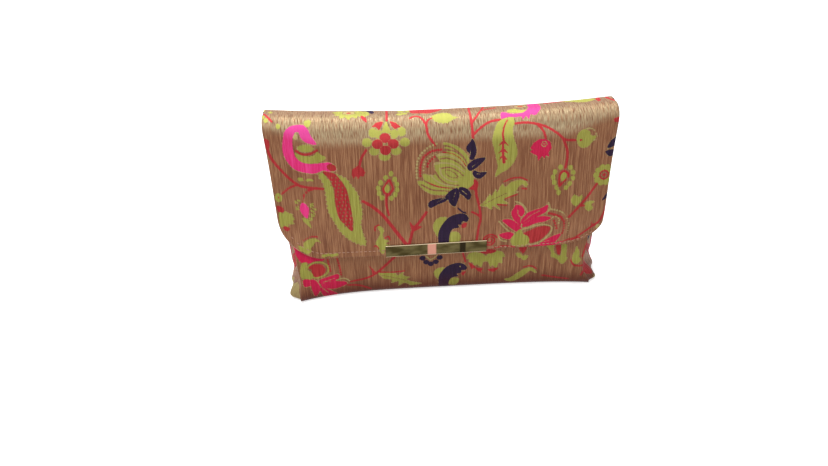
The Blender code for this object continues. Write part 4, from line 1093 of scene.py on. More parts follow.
def flap_sheet(insets, corner_steps, middle_steps, over_rows, face_rows):
    """Grid of the flap with its edges turned by the given (inset, depth) steps."""
    lengths = np.linspace(OVER_LENGTH, 0.0, over_rows + 1)[:-1]
    first = insets[0][0]
    turns = len(insets) - 1
    cols = len(flap_columns(first, corner_steps, middle_steps)) + 2 * turns
    rows = over_rows + face_rows + 1 + turns
    out = np.zeros((rows, cols, 4))
    for c in range(cols):
        k = max(turns - c, 0, c - (cols - 1 - turns))
        main = min(max(c - turns, 0), cols - 1 - 2 * turns)
        for turn in range(turns + 1):
            inset, depth = insets[max(k, turn)]
            x = flap_columns(inset, corner_steps, middle_steps)[main]
            share = x / (BAG_WIDTH / 2)
            low = float(flap_edge(np.array(x), inset))
            if turn == 0:
                fold_level = top_level(share) - FRONT_FOLD_RADIUS
                levels = np.linspace(fold_level, low, face_rows + 1)
                values = np.concatenate([lengths, levels])
                over = np.arange(len(values)) < over_rows
                out[: len(values), c] = np.stack(flap_place(np.full(len(values), x), values, over, depth), -1)
            else:
                out[over_rows + face_rows + turn, c] = np.stack(
                    flap_place(np.array([x]), np.array([low]), np.array([False]), depth), -1
                )[0]
    return out


def build_flap_cover(material):
    sheet = flap_sheet(wrap_steps(), 26, 214, 30, 132)
    cloth = sheet[..., [0, 3]]
    weave = Weave(cloth[..., 0] / MM, cloth[..., 1] / MM)
    flap_pattern(weave)
    piece = lay_grid("flap_cover", sheet[..., :3], cloth, material, weave.fields, True)
    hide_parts("flap_cloth", "spine_cloth")
    return piece


def body_rows(share):
    """Profiles of the body's cloth from the hem behind the mouth to the middle of the top strip.

    Gives y, z, the place along the cloth, and whether the row belongs to the back."""
    bend = HEM_THICKNESS / 2
    one = np.ones_like(share)
    mouth = -front_depth(share, MOUTH_HEIGHT)
    rows = []
    for z in np.linspace(MOUTH_HEIGHT - HEM_WIDTH, MOUTH_HEIGHT - bend, 6):
        rows.append((mouth + HEM_THICKNESS, z * one, (2 * MOUTH_HEIGHT - z) * one, False))
    for a in np.radians(np.linspace(0.0, 180.0, 9))[1:-1]:
        z = MOUTH_HEIGHT - bend + bend * math.sin(a)
        place = MOUTH_HEIGHT + bend * math.cos(a)
        rows.append((mouth + bend + bend * math.cos(a), z * one, place * one, False))
    levels = np.concatenate(
        [np.linspace(MOUTH_HEIGHT - bend, 0.046, 56), np.linspace(0.046, BASE_ROUND, 53)[1:]]
    )
    bends = BASE_ROUND * (1.0 - np.sin(np.radians(np.linspace(0.0, 90.0, 9))))
    for z in np.concatenate([levels, bends[1:]]):
        rows.append((-front_depth(share, z * one), z * one, z * one, False))
    front, back = -front_depth(share, 0.0 * one), back_depth(share, 0.0 * one)
    for t in np.linspace(0.0, 1.0, 15)[1:]:
        rows.append((mix(front, back, t), 0.0 * one, -0.0215 * t * one, False))
    strip = top_level(share) - FRONT_FOLD_RADIUS + OVER_LENGTH
    fold_start = strip + (BACK_TOP_DEPTH - BACK_FOLD_RADIUS) + BACK_FOLD_RADIUS * math.pi / 2
    fold_level = top_level(share) - BACK_FOLD_RADIUS
    for z in bends[::-1][1:-1]:
        rows.append((back_depth(share, z * one), z * one, fold_start + fold_level - z, True))
    for t in np.linspace(0.0, 1.0, 122):
        z = mix(BASE_ROUND * one, fold_level, t)
        rows.append((back_depth(share, z), z, fold_start + fold_level - z, True))
    centre = BACK_TOP_DEPTH - BACK_FOLD_RADIUS
    for a in np.radians(np.linspace(0.0, 90.0, 15))[1:]:
        y, z = centre + BACK_FOLD_RADIUS * math.cos(a), fold_level + BACK_FOLD_RADIUS * math.sin(a)
        rows.append((y * one, z, fold_start - BACK_FOLD_RADIUS * a, True))
    for y in np.linspace(centre, 0.0, 6)[1:]:
        rows.append((y * one, top_level(share), strip + y, True))
    y, z, along = (np.array([row[k] * one for row in rows]) for k in range(3))
    return y, z, along, np.array([row[3] for row in rows])


def body_across(y, z, share, back):
    x = body_x(y, z, share)
    over = (z > top_level(share) - BACK_FOLD_RADIUS - 1e-6) & back[:, None]
    return np.where(over, share * flap_half_width(np.minimum(z, BAG_HEIGHT)), x)


# Inset and depth of the body's cloth as it turns in at its side edges
EDGE_TURN = ((0.0004, 0.00012), (0.0001, 0.0004), (0.0, 0.0009), (0.0001, 0.0015), (0.0012, 0.0020))
FOLD_PIECE_LEVEL = 0.1340


def fold_row(points, back):
    """The row on the back where the cloth that bends starts as a piece of its own."""
    middle = points.shape[1] // 2
    return int(np.argmax(back & (points[:, middle, 2] > FOLD_PIECE_LEVEL)))


def body_pattern(u, v, back):
    """Colour fields of the body's cloth: the front's motifs, and the flap's pattern laid again elsewhere."""
    front_part = np.broadcast_to(~back[:, None], u.shape)
    front = Weave(u, v, None, front_part)
    front_pattern(front)
    for du in HIDDEN_FRONT_SHIFTS:
        flap_pattern(front.moved(du, HIDDEN_FRONT_RISE, front_part & (v > HIDDEN_FRONT_START)))
    flap_pattern(front.moved(0.0, 0.0, ~front_part & (v < BACK_START)))
    for du in BACK_SHIFTS:
        flap_pattern(front.moved(du, BACK_RISE, ~front_part & (v >= BACK_START)))
    return front.fields


def build_body_cover(material):
    """The cloth of front, base and back, in two pieces that meet a little below the back fold."""
    reach = 1.0 - FIRST_INSET / (FRONT_WIDTH / 2)
    inner = np.linspace(-reach, reach, 268)
    turns = len(EDGE_TURN)
    share = np.concatenate([-np.ones(turns), inner, np.ones(turns)])
    inset = np.array([s[0] for s in EDGE_TURN[::-1]] + [0.0] * len(inner) + [s[0] for s in EDGE_TURN])
    depth = np.array([s[1] for s in EDGE_TURN[::-1]] + [0.0] * len(inner) + [s[1] for s in EDGE_TURN])
    y, z, along, back = body_rows(share)
    x = body_across(y, z, share, back) - np.sign(share) * inset
    in_y, in_z = row_normals(y, z)
    wave = ripples(x * 1.1 + 0.02, along + 0.3) * (0.25 + 0.75 * np.clip(z / CORNER_ZONE, 0, 1))
    wave = np.where((z > MOUTH_HEIGHT - 0.004) & ~back[:, None], 0.0, wave)
    strip = top_level(share) - FRONT_FOLD_RADIUS + OVER_LENGTH
    wave = wave * np.where(back[:, None], np.clip((along - strip) / SEAM_FADE, 0.0, 1.0), 1.0)
    at_corner = np.clip((np.abs(share) - 0.8) * 5.0, 0, 1) * ease(1.0 - z / CORNER_ZONE)
    puckers = PUCKER * np.sin(x * 330.0) * at_corner
    push = depth + np.maximum(wave, -0.0002) * (z > 0.004) + puckers * (z > 0.002)
    points = np.stack([x, y + in_y * push, z + in_z * push], -1)
    points[..., 2] = np.maximum(points[..., 2], 0.0)
    points[..., 2] = np.minimum(points[..., 2], BAG_HEIGHT)
    fields_here = body_pattern(x / MM, along / MM, back)
    cloth = np.stack([x, along], -1)
    split = fold_row(points, back)
    pieces = []
    for name, rows in (("body_cover", slice(0, split + 1)), ("back_fold_cover", slice(split, None))):
        fields = {colour: field[rows] for colour, field in fields_here.items()}
        pieces.append(lay_grid(name, points[rows], cloth[rows], material, fields))
    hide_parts("body_cloth")
    return pieces


EAR_REACH = {-1: 0.0065, 1: 0.0045}


def gusset_grid(side, rows, across, push=0.0, trim=0.0):
    """Points of a folded side strip, and their places on the flat cloth."""
    top = MOUTH_HEIGHT - GUSSET_DROP
    levels = np.concatenate([np.linspace(top, 0.010, rows), np.linspace(0.010, 0.0, 12)[1:]])
    one = np.full(len(levels), float(side))
    front_y, front_z = -front_depth(one, levels), levels.copy()
    back_y, back_z = back_depth(one, levels), levels.copy()
    fy, fz = row_normals(front_y[:, None], front_z[:, None])
    by, bz = row_normals(back_y[::-1, None], back_z[::-1, None])
    by, bz = by[::-1], bz[::-1]
    inside = SEAM_DEPTH + 0.25 * push
    front_y, front_z = front_y + fy[:, 0] * inside, front_z + fz[:, 0] * inside
    back_y, back_z = back_y + by[:, 0] * inside, back_z + bz[:, 0] * inside
    place = np.linspace(trim, 1.0 - trim, across)[None, :]
    y = mix(front_y[:, None], back_y[:, None], place)
    z = mix(front_z[:, None], back_z[:, None], place)
    level = levels[:, None] + 0.0 * place
    fold = mix(FOLD_AT_FOOT, FOLD_AT_TOP, ease((level - 0.007) / 0.042))
    valley = fold * (1.0 - np.abs(2.0 * place - 1.0) ** 1.5)
    edge = mix(front_half_width(level), back_half_width(level), place) - 0.0003
    pinch = 0.0016 * np.sin(place * 9.0 + level * 210.0) * np.sin(math.pi * place)
    crumple = 0.0009 * np.sin(level * 520.0 + place * 7.0) * np.sin(math.pi * place)
    crumple = crumple * ease(1.0 - level / 0.035)
    ear = EAR_REACH[side] * np.exp(-(((level - 0.006) / 0.007) ** 2) - ((place - 0.20) / 0.20) ** 2)
    x = edge - valley - 1.6 * push + pinch + crumple + ear * ease(place / 0.14)
    lean = mix(front_lean(level), back_lean(level), place)
    across_cloth = place * GUSSET_CLOTH_WIDTH * side + 0.0 * level
    return np.stack([side * x + lean, y, z], -1), np.stack([across_cloth, level], -1)


def build_gusset(word, side, material, lining):
    """The folded strip in one side, and its lining."""
    points, cloth = gusset_grid(side, 130, 46)
    weave = Weave(cloth[..., 0] / MM, cloth[..., 1] / MM)
    gusset_pattern(weave, side)
    flip = side > 0
    piece = lay_grid(f"{word}_gusset_cover", points, cloth, material, weave.fields, flip)
    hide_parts(f"{word}_gusset")
    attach(piece, "body")
    points, cloth = gusset_grid(side, 60, 24, GUSSET_INNER_PUSH, GUSSET_INNER_TRIM)
    inner = lay_grid(f"{word}_gusset_inside", points, cloth, lining, None, not flip)
    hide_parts(f"{word}_gusset_lining")
    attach(inner, "body")


def gusset_pattern(weave, side):
    """Parts of red, lime and dark motifs that the cut strip happens to hold, with the broad purple patch on
    the right strip partly painted shade and the gold at each strip's foot partly painted highlight.
    """
    for k, v in enumerate((52, 70, 88, 106, 124)):
        u = side * (14 + 9 * (k % 3))
        petal(weave, "red" if k % 2 else "crimson", (u, v), (u + side * 8, v + 11), 6.5, "gold")
        petal(weave, "lime", (u - side * 4, v + 8), (u + side * 2, v + 17), 4.0, "gold")
    if side > 0:
        # Partly painted shade: a broad purple patch darkens the right strip
        edged(weave, "purple", [(24, 50), (43, 50), (44, 34), (39, 26), (30, 25), (25, 34)], 0.8)
        fill(weave, "red", [(24, 20), (32, 23), (40, 20), (43, 12), (36, 8), (27, 9)])
        fill(weave, "red", [(2, 24), (10, 22), (12, 12), (6, 8), (1, 12)])
        # Partly painted highlight: gold at the strip's foot
        fill(weave, "gold", [(6, 6), (14, 4), (24, 6), (34, 4), (34, -2), (6, -2)])
    else:
        edged(weave, "crimson", [(-25, 58), (-40, 60), (-44, 44), (-40, 31), (-31, 30), (-26, 42)], 0.8)
        fill(weave, "red", [(-26, 26), (-38, 27), (-43, 18), (-36, 12), (-28, 15)])
        # Partly painted highlight: gold at the strip's foot
        fill(weave, "gold", [(-3, 13), (-9, 15), (-15, 11), (-20, 14), (-26, 8), (-26, -2), (-3, -2)])
    stem(weave, [(side * 18, 26), (side * 14, 40), (side * 16, 70), (side * 12, 110)], 1.8)


def build_body_lining(material):
    share = np.linspace(-1.0, 1.0, 100)
    y, z, along, back = body_rows(share)
    keep = np.concatenate([[14], np.arange(16, len(y) - 1, 3), [len(y) - 1]])
    in_y, in_z = row_normals(y, z)
    x = body_across(y, z, share, back) * (1.0 - LINING_TRIM / (FRONT_WIDTH / 2))
    wave = LINING_WAVE * np.sin(x * 190.0 + along * 60.0) * np.sin(along * 150.0 - x * 40.0)
    push = LINING_DEPTH + np.abs(wave)
    points = np.stack([x, y + in_y * push, z + in_z * push], -1)
    points, cloth, back = points[keep], np.stack([x, along], -1)[keep], back[keep]
    split = fold_row(points, back)
    pieces = []
    for name, rows in (("body_inside", slice(0, split + 1)), ("back_fold_inside", slice(split, None))):
        pieces.append(lay_grid(name, points[rows], cloth[rows], material, None, True))
    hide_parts("body_lining")
    return pieces


def build_flap_lining(material):
    sheet = flap_sheet(LINING_HEM, 14, 90, 14, 52)
    piece = lay_grid("flap_inside", sheet[..., :3], sheet[..., [0, 3]], material)
    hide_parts("flap_lining", "spine_lining")
    return piece


# The polished bar


def bar_frame():
    share = BAR_OFFSET / (BAG_WIDTH / 2)
    low = FLAP_EDGE_LEVEL + FLAP_EDGE_SLOPE * BAR_OFFSET
    high = FLAP_EDGE_LEVEL + BAR_FRONT_HEIGHT
    rise = float(flap_depth(share, np.array(high)) - flap_depth(share, np.array(FLAP_EDGE_LEVEL)))
    lean = math.atan2(rise, BAR_FRONT_HEIGHT)
    place = Matrix.Translation((BAR_OFFSET, -float(flap_depth(share, np.array(low))), low))
    return place @ Matrix.Rotation(-math.atan(FLAP_EDGE_SLOPE), 4, "Y") @ Matrix.Rotation(lean, 4, "X")


def build_bar(material):
    """A folded strip: its middle surface is laid from a grid, thickened, and its edges are rounded."""
    half = BAR_METAL / 2
    front, back = -BAR_CLEARANCE - half, HEM_THICKNESS + BAR_CLEARANCE + half
    bend = BAR_BEND
    middle = front + bend
    profile = [(front, z) for z in np.linspace(BAR_FRONT_HEIGHT, middle, 9)]
    for a in np.radians((22.5, 45, 67.5, 90)):
        profile.append((front + bend - bend * math.cos(a), middle - bend * math.sin(a)))
    for a in np.radians((0, 22.5, 45, 67.5)):
        profile.append((back - bend + bend * math.sin(a), middle - bend * math.cos(a)))
    profile += [(back, z) for z in np.linspace(middle, BAR_BACK_HEIGHT, 7)]
    along = np.linspace(-BAR_LENGTH / 2 + half, BAR_LENGTH / 2 - half, 41)
    turn = bar_frame()
    points = np.zeros((len(profile), len(along), 3))
    for r, (y, z) in enumerate(profile):
        for c, x in enumerate(along):
            dent = 0.00005 * math.sin(x * 95.0 + 0.7) + 0.00003 * math.sin(x * 210.0 + z * 300.0)
            points[r, c] = turn @ Vector((x, y + dent, z))
    # Painted highlight: the top rim and the rolled lower lip are marked for a bright band
    rim_highlight = np.zeros((len(profile), len(along)))
    rim_highlight[0] = rim_highlight[9:12] = 1.0
    piece = lay_grid("trim_bar_shell", points, points[..., [0, 2]], material, {"rim_highlight": rim_highlight})
    thicken = piece.modifiers.new("metal", "SOLIDIFY")
    thicken.thickness = BAR_METAL
    thicken.offset = 0.0
    rounding = piece.modifiers.new("rounded edges", "BEVEL")
    rounding.width = BAR_EDGE_ROUND
    rounding.segments = 3
    rounding.limit_method = "ANGLE"
    rounding.angle_limit = math.radians(50.0)
    select_only(piece)
    for modifier in ("metal", "rounded edges"):
        bpy.ops.object.modifier_apply(modifier=modifier)
    bpy.ops.object.mode_set(mode="EDIT")
    bpy.ops.mesh.select_all(action="SELECT")
    bpy.ops.mesh.normals_make_consistent(inside=False)
    bpy.ops.object.mode_set(mode="OBJECT")
    bpy.ops.object.shade_smooth_by_angle(angle=math.radians(35.0))
    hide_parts("trim_bar")
    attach(piece, "flap")


# Stitching


def build_stitching(material):
    """A row of stitches along the flap's lower edge, each a slim bead half sunk in the cloth."""
    bpy.ops.object.select_all(action="DESELECT")
    bpy.ops.mesh.primitive_uv_sphere_add(segments=8, ring_count=6, radius=1.0)
    pattern = bpy.context.object
    pattern.scale = STITCH_SIZE
    bpy.ops.object.transform_apply(location=False, rotation=False, scale=True)
    made = []
    for first, last, inset in STITCH_ROWS:
        for x in np.arange(first, last, STITCH_PITCH):
            ends = []
            for at in (x, x + STITCH_RUN):
                level = float(flap_edge(np.array(at), inset))
                spot = flap_place(np.array(at), np.array(level), np.array(False), STITCH_SINK)
                ends.append(Vector([float(part) for part in spot[:3]]))
            stitch = pattern.copy()
            stitch.data = pattern.data.copy()
            bpy.context.scene.collection.objects.link(stitch)
            turn = (ends[1] - ends[0]).to_track_quat("X", "Z").to_matrix().to_4x4()
            stitch.data.transform(Matrix.Translation((ends[0] + ends[1]) / 2) @ turn)
            made.append(stitch)
    bpy.data.objects.remove(pattern)
    for stitch in made:
        stitch.select_set(True)
    bpy.context.view_layer.objects.active = made[0]
    bpy.ops.object.join()
    piece = bpy.context.object
    piece.name = piece.data.name = "flap_stitching"
    bpy.ops.object.shade_smooth()
    piece.data.materials.append(material)
    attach(piece, "flap")


# Materials


def give(tree, node, inputs):
    """Gives each named input of a node a value or a link."""
    for key, value in inputs.items():
        if isinstance(value, bpy.types.NodeSocket):
            tree.links.new(value, node.inputs[key])
        else:
            node.inputs[key].default_value = value


def wire(tree, kind, inputs=None, **settings):
    """Adds a node with its settings and its inputs."""
    made = tree.nodes.new(kind)
    for name, value in settings.items():
        setattr(made, name, value)
    give(tree, made, inputs or {})
    return made


def sum_of(tree, a, b, operation="ADD"):
    return wire(tree, "ShaderNodeMath", {0: a, 1: b}, operation=operation).outputs[0]


def between(tree, value, low, high, to_low=0.0, to_high=1.0):
    inputs = {"Value": value, "From Min": low, "From Max": high, "To Min": to_low, "To Max": to_high}
    return wire(tree, "ShaderNodeMapRange", inputs, interpolation_type="SMOOTHSTEP").outputs[0]


def blend_colour(tree, factor, a, b):
    a, b = (part if isinstance(part, bpy.types.NodeSocket) else (*part, 1.0) for part in (a, b))
    return wire(tree, "ShaderNodeMix", {0: factor, 6: a, 7: b}, data_type="RGBA").outputs[2]


def times(tree, a, b):
    return sum_of(tree, a, b, "MULTIPLY")


def bump(tree, strength, distance, height):
    inputs = {"Strength": strength, "Distance": distance, "Height": height}
    return wire(tree, "ShaderNodeBump", inputs).outputs[0]


def new_group(name, inputs, outputs):
    tree = bpy.data.node_groups.new(name, "ShaderNodeTree")
    for label, kind in inputs:
        tree.interface.new_socket(label, in_out="INPUT", socket_type=kind)
    for label, kind in outputs:
        tree.interface.new_socket(label, in_out="OUTPUT", socket_type=kind)
    return tree, tree.nodes.new("NodeGroupInput"), tree.nodes.new("NodeGroupOutput")


def stretched_noise(tree, vector, scale, detail, roughness=0.5):
    moved = wire(tree, "ShaderNodeMapping", {"Vector": vector, "Scale": scale})
    inputs = {"Vector": moved.outputs[0], "Scale": 1.0, "Detail": detail, "Roughness": roughness}
    return wire(tree, "ShaderNodeTexNoise", inputs).outputs["Fac"]


def rib_group():
    """Crinkled vertical threads: a height, and how much bright thread shows."""
    results = [("Height", "NodeSocketFloat"), ("Bright", "NodeSocketFloat")]
    tree, given, result = new_group("crinkled threads", [("Cloth", "NodeSocketVector")], results)
    place = given.outputs["Cloth"]
    wide = stretched_noise(tree, place, (1500.0, 30.0, 1.0), 1.0)
    fine = stretched_noise(tree, place, (3000.0, 120.0, 1.0), 1.0)
    cross = stretched_noise(tree, place, (300.0, 1500.0, 1.0), 1.0)
    height = sum_of(tree, sum_of(tree, wide, times(tree, fine, 0.45)), times(tree, cross, 0.15))
    bright = between(tree, sum_of(tree, wide, times(tree, fine, 0.5)), 0.57, 1.04)
    give(tree, result, {"Height": height, "Bright": bright})
    return tree


def thread_edge_group():
    """Turns the depth inside a motif into a mask whose edge steps from thread to thread."""
    tree, given, result = new_group(
        "thread stepped edge",
        [("Cloth", "NodeSocketVector"), ("Depth", "NodeSocketFloat")],
        [("Mask", "NodeSocketFloat")],
    )
    jitter = stretched_noise(tree, given.outputs["Cloth"], (1300.0, 1300.0, 1.0), 1.0)
    offset = between(tree, jitter, 0.2, 0.8, -0.28, 0.28)
    mask = between(tree, sum_of(tree, given.outputs["Depth"], offset), -0.26, 0.04)
    tree.links.new(mask, result.inputs["Mask"])
    return tree


def cloth_attribute(tree):
    return wire(tree, "ShaderNodeAttribute", attribute_name="cloth").outputs["Vector"]


def field_attribute(tree, name):
    return wire(tree, "ShaderNodeAttribute", attribute_name=name).outputs["Fac"]


COPPER_DARK = (0.120, 0.039, 0.018)
COPPER = (0.185, 0.069, 0.032)
GOLD_THREAD = (0.360, 0.180, 0.088)
# Painted highlight: the pale gold the cloth takes where it bends over the top
BEND_HIGHLIGHT_GOLD = (0.520, 0.410, 0.245)
# Painted shade: the deep red the cloth darkens to towards the floor
BASE_SHADE = (0.085, 0.012, 0.007)
# Levels where the painted highlight at the top's bend starts and is full
BEND_HIGHLIGHT_START, BEND_HIGHLIGHT_FULL = 0.1270, 0.1370
BROCADE_SPECULAR = 0.14
BROCADE_ROUGHNESS = 0.48
BROCADE_METAL = 0.20
MOTIF_COLOURS = {
    "gold": ((0.46, 0.37, 0.15), (0.33, 0.25, 0.10)),
    "magenta": ((0.82, 0.060, 0.27), (0.66, 0.022, 0.15)),
    "crimson": ((0.64, 0.018, 0.088), (0.50, 0.009, 0.052)),
    "red": ((0.48, 0.040, 0.045), (0.33, 0.018, 0.020)),
    "lime": ((0.40, 0.40, 0.085), (0.27, 0.25, 0.045)),
    "purple": ((0.026, 0.010, 0.042), (0.013, 0.005, 0.020)),
}
# Olive tones of the bar, in slow blotches that are partly painted dark reflection
BAR_OLIVE_DARK = (0.034, 0.026, 0.009)
BAR_OLIVE = (0.085, 0.070, 0.030)
# Painted highlight along the bar's top rim and rolled lower lip
BAR_RIM_HIGHLIGHT = (0.62, 0.50, 0.34)
# Colour, start and end of each painted reflection on the bar, a rosy one and a dark one, from its middle
BAR_PAINTED_REFLECTIONS = (((0.36, 0.17, 0.125), -0.0062, -0.0008), ((0.016, 0.012, 0.006), 0.0190, 0.0225))
BAR_REFLECTION_SOFT = 0.0012
SCREW_PATCHES = (9.0, 60.0, 60.0)


def new_material(name):
    material = bpy.data.materials.new(name)
    material.use_nodes = True
    tree = material.node_tree
    return material, tree, tree.nodes["Principled BSDF"]


def bend_highlight_mask(tree, place):
    """Mask of the painted highlight where the cloth bends over the top, with its start a little higher
    towards the sides.
    """
    parts = wire(tree, "ShaderNodeSeparateXYZ", {0: place})
    level = parts.outputs[1]
    aside = between(tree, sum_of(tree, parts.outputs[0], 0.0, "ABSOLUTE"), 0.085, 0.130, 0.0, 0.013)
    begun = between(tree, sum_of(tree, level, aside, "SUBTRACT"), BEND_HIGHLIGHT_START, BEND_HIGHLIGHT_FULL)
    bend = times(tree, begun, between(tree, level, 0.150, 0.160, 1.0, 0.45))
    return level, times(tree, bend, between(tree, level, 0.170, 0.180, 1.0, 0.0))


def ground_colour(tree, place, bright):
    """Copper threads of two tones with gold ones between."""
    tone = stretched_noise(tree, place, (28.0, 18.0, 1.0), 2.0)
    ground = blend_colour(tree, between(tree, tone, 0.3, 0.7), COPPER_DARK, COPPER)
    ground = blend_colour(tree, sum_of(tree, bright, 0.55), ground, COPPER)
    return blend_colour(tree, bright, ground, GOLD_THREAD)


def brocade():
    """Copper ground with gold threads, the woven colours, a painted highlight at the top's bend in paler gold
    streaks on the ground and brighter woven colours, and painted shade towards the floor.
    """
    edges = thread_edge_group()
    material, tree, shader = new_material("brocade")
    place = cloth_attribute(tree)
    rib = wire(tree, "ShaderNodeGroup", node_tree=rib_group())
    tree.links.new(place, rib.inputs["Cloth"])
    bright, height = rib.outputs["Bright"], rib.outputs["Height"]
    level, bend = bend_highlight_mask(tree, place)
    # Painted highlight: pale gold streaks where the cloth bends over the top
    highlight_streaks = between(tree, stretched_noise(tree, place, (2300.0, 170.0, 1.0), 1.0), 0.26, 0.72)
    colour = blend_colour(tree, times(tree, bend, highlight_streaks), ground_colour(tree, place, bright), BEND_HIGHLIGHT_GOLD)
    worked = None
    for name, (light, deep) in MOTIF_COLOURS.items():
        group = wire(tree, "ShaderNodeGroup", node_tree=edges)
        give(tree, group, {"Cloth": place, "Depth": field_attribute(tree, name)})
        mask = group.outputs["Mask"]
        thread = blend_colour(tree, bright, deep, light)
        # Painted highlight: at the bend the woven colours turn paler and brighter
        lit = tuple(min(1.5 * part, 0.9) for part in light)
        thread = blend_colour(tree, times(tree, bend, 0.85), thread, lit)
        colour = blend_colour(tree, mask, colour, thread)
        worked = mask if worked is None else sum_of(tree, worked, mask, "MAXIMUM")
    # Painted shade: towards the floor, where the base turns under, the cloth darkens to a deep red, less on
    # the woven motifs
    low = times(
        tree, between(tree, level, 0.001, 0.019, 0.90, 0.0), between(tree, worked, 0.0, 1.0, 1.0, 0.35)
    )
    rough = sum_of(tree, BROCADE_ROUGHNESS, times(tree, worked, 0.16))
    relief = sum_of(tree, height, times(tree, worked, 0.25))
    give(tree, shader, {
        "Base Color": blend_colour(tree, low, colour, BASE_SHADE),
        "Specular IOR Level": BROCADE_SPECULAR,
        "Roughness": sum_of(tree, rough, times(tree, bright, 0.08), "SUBTRACT"),
        "Metallic": sum_of(tree, BROCADE_METAL, times(tree, worked, 0.19), "SUBTRACT"),
        "Normal": bump(tree, 0.75, 0.0006, relief),
    })
    return material


def satin(name, colour, deep):
    """Lining cloth with a soft sheen."""
    material, tree, shader = new_material(name)
    place = cloth_attribute(tree)
    slow = stretched_noise(tree, place, (60.0, 35.0, 1.0), 3.0)
    fine = stretched_noise(tree, place, (2200.0, 500.0, 1.0), 1.0)
    give(tree, shader, {
        "Base Color": blend_colour(tree, between(tree, slow, 0.3, 0.7), deep, colour),
        "Roughness": between(tree, fine, 0.2, 0.8, 0.38, 0.52),
        "Normal": bump(tree, 0.35, 0.0004, sum_of(tree, slow, fine)),
    })
    return material


def object_place(tree):
    return wire(tree, "ShaderNodeTexCoord").outputs["Object"]


def polished_metal(name, colour, deep, roughness):
    """Brass with slow patches of tone and fine polishing marks."""
    material, tree, shader = new_material(name)
    place = object_place(tree)
    slow = stretched_noise(tree, place, SCREW_PATCHES, 2.0)
    marks = stretched_noise(tree, place, (900.0, 900.0, 3500.0), 3.0)
    give(tree, shader, {
        "Base Color": blend_colour(tree, between(tree, slow, 0.35, 0.65), deep, colour),
        "Metallic": 1.0,
        "Roughness": between(tree, marks, 0.3, 0.75, roughness * 0.7, roughness * 1.5),
        "Normal": bump(tree, 0.05, 0.0001, marks),
    })
    return material


def mirror_bar():
    """Olive mirror finish in slow blotches that are partly painted reflection, with a painted rosy reflection
    and a painted dark reflection along it, and painted highlights on the rolled rims.
    """
    material, tree, shader = new_material("polished bar")
    along = wire(tree, "ShaderNodeSeparateXYZ", {0: object_place(tree)}).outputs[0]
    slow = stretched_noise(tree, object_place(tree), (70.0, 40.0, 160.0), 2.0)
    # Partly painted reflection: slow blotches of darker and lighter olive
    colour = blend_colour(tree, between(tree, slow, 0.35, 0.65), BAR_OLIVE_DARK, BAR_OLIVE)
    # Painted reflections: a rosy patch and a dark patch along the bar
    for reflection, start, end in BAR_PAINTED_REFLECTIONS:
        start, end = BAR_OFFSET + start, BAR_OFFSET + end
        coming = between(tree, along, start - BAR_REFLECTION_SOFT, start)
        leaving = between(tree, along, end, end + BAR_REFLECTION_SOFT, 1.0, 0.0)
        colour = blend_colour(tree, times(tree, coming, leaving), colour, reflection)
    # Painted highlight: bright gold bands on the rims
    rim_highlight = between(tree, field_attribute(tree, "rim_highlight"), 0.45, 0.80)
    give(tree, shader, {
        "Base Color": blend_colour(tree, rim_highlight, colour, BAR_RIM_HIGHLIGHT),
        "Metallic": 1.0,
        "Roughness": between(tree, slow, 0.3, 0.7, 0.06, 0.14),
    })
    return material


def plain_fibre(name, colour, deep, roughness, scale):
    """Card, felt, magnet and sewing thread: two tones in a fine random grain."""
    material, tree, shader = new_material(name)
    grain = stretched_noise(tree, object_place(tree), (scale, scale, scale), 4.0, 0.6)
    give(tree, shader, {
        "Base Color": blend_colour(tree, between(tree, grain, 0.3, 0.7), deep, colour),
        "Roughness": between(tree, grain, 0.2, 0.8, roughness - 0.08, roughness),
        "Normal": bump(tree, 0.3, 0.0003, grain),
    })
    return material


def finish_node(name, material):
    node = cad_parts[name]
    node.data.materials.clear()
    node.data.materials.append(material)


# Light, floor and camera


FLOOR_GLOW = 0.62
WORLD_SOFT, WORLD_WHITE = 0.42, 1.0


def seen_directly(tree):
    """True for what the camera sees, also in a mirror or through something clear."""
    path = wire(tree, "ShaderNodeLightPath")
    seen = sum_of(tree, path.outputs["Is Camera Ray"], path.outputs["Is Glossy Ray"], "MAXIMUM")
    return sum_of(tree, seen, path.outputs["Is Transmission Ray"], "MAXIMUM")


def build_floor():
    bpy.ops.object.select_all(action="DESELECT")
    bpy.ops.mesh.primitive_plane_add(size=8.0, location=(0.0, 0.0, 0.0))
    floor = bpy.context.object
    floor.name = floor.data.name = "floor"
    material, tree, shader = new_material("floor paper")
    grain = stretched_noise(tree, object_place(tree), (40.0, 40.0, 40.0), 3.0)
    give(tree, shader, {
        "Base Color": blend_colour(tree, grain, (0.93, 0.93, 0.93), (0.97, 0.97, 0.97)),
        "Roughness": 0.9,
        "Emission Color": (1.0, 1.0, 1.0, 1.0),
        "Emission Strength": times(tree, seen_directly(tree), FLOOR_GLOW),
    })
    floor.data.materials.append(material)


def build_world():
    world = bpy.data.worlds.new("studio")
    bpy.context.scene.world = world
    world.use_nodes = True
    tree = world.node_tree
    tree.nodes.clear()
    soft = wire(tree, "ShaderNodeBackground", {"Color": (1.0, 1.0, 1.0, 1.0), "Strength": WORLD_SOFT})
    white = wire(tree, "ShaderNodeBackground", {"Color": (1.0, 1.0, 1.0, 1.0), "Strength": WORLD_WHITE})
    both = wire(
        tree, "ShaderNodeMixShader", {0: seen_directly(tree), 1: soft.outputs[0], 2: white.outputs[0]}
    )
    output = tree.nodes.new("ShaderNodeOutputWorld")
    tree.links.new(both.outputs[0], output.inputs["Surface"])


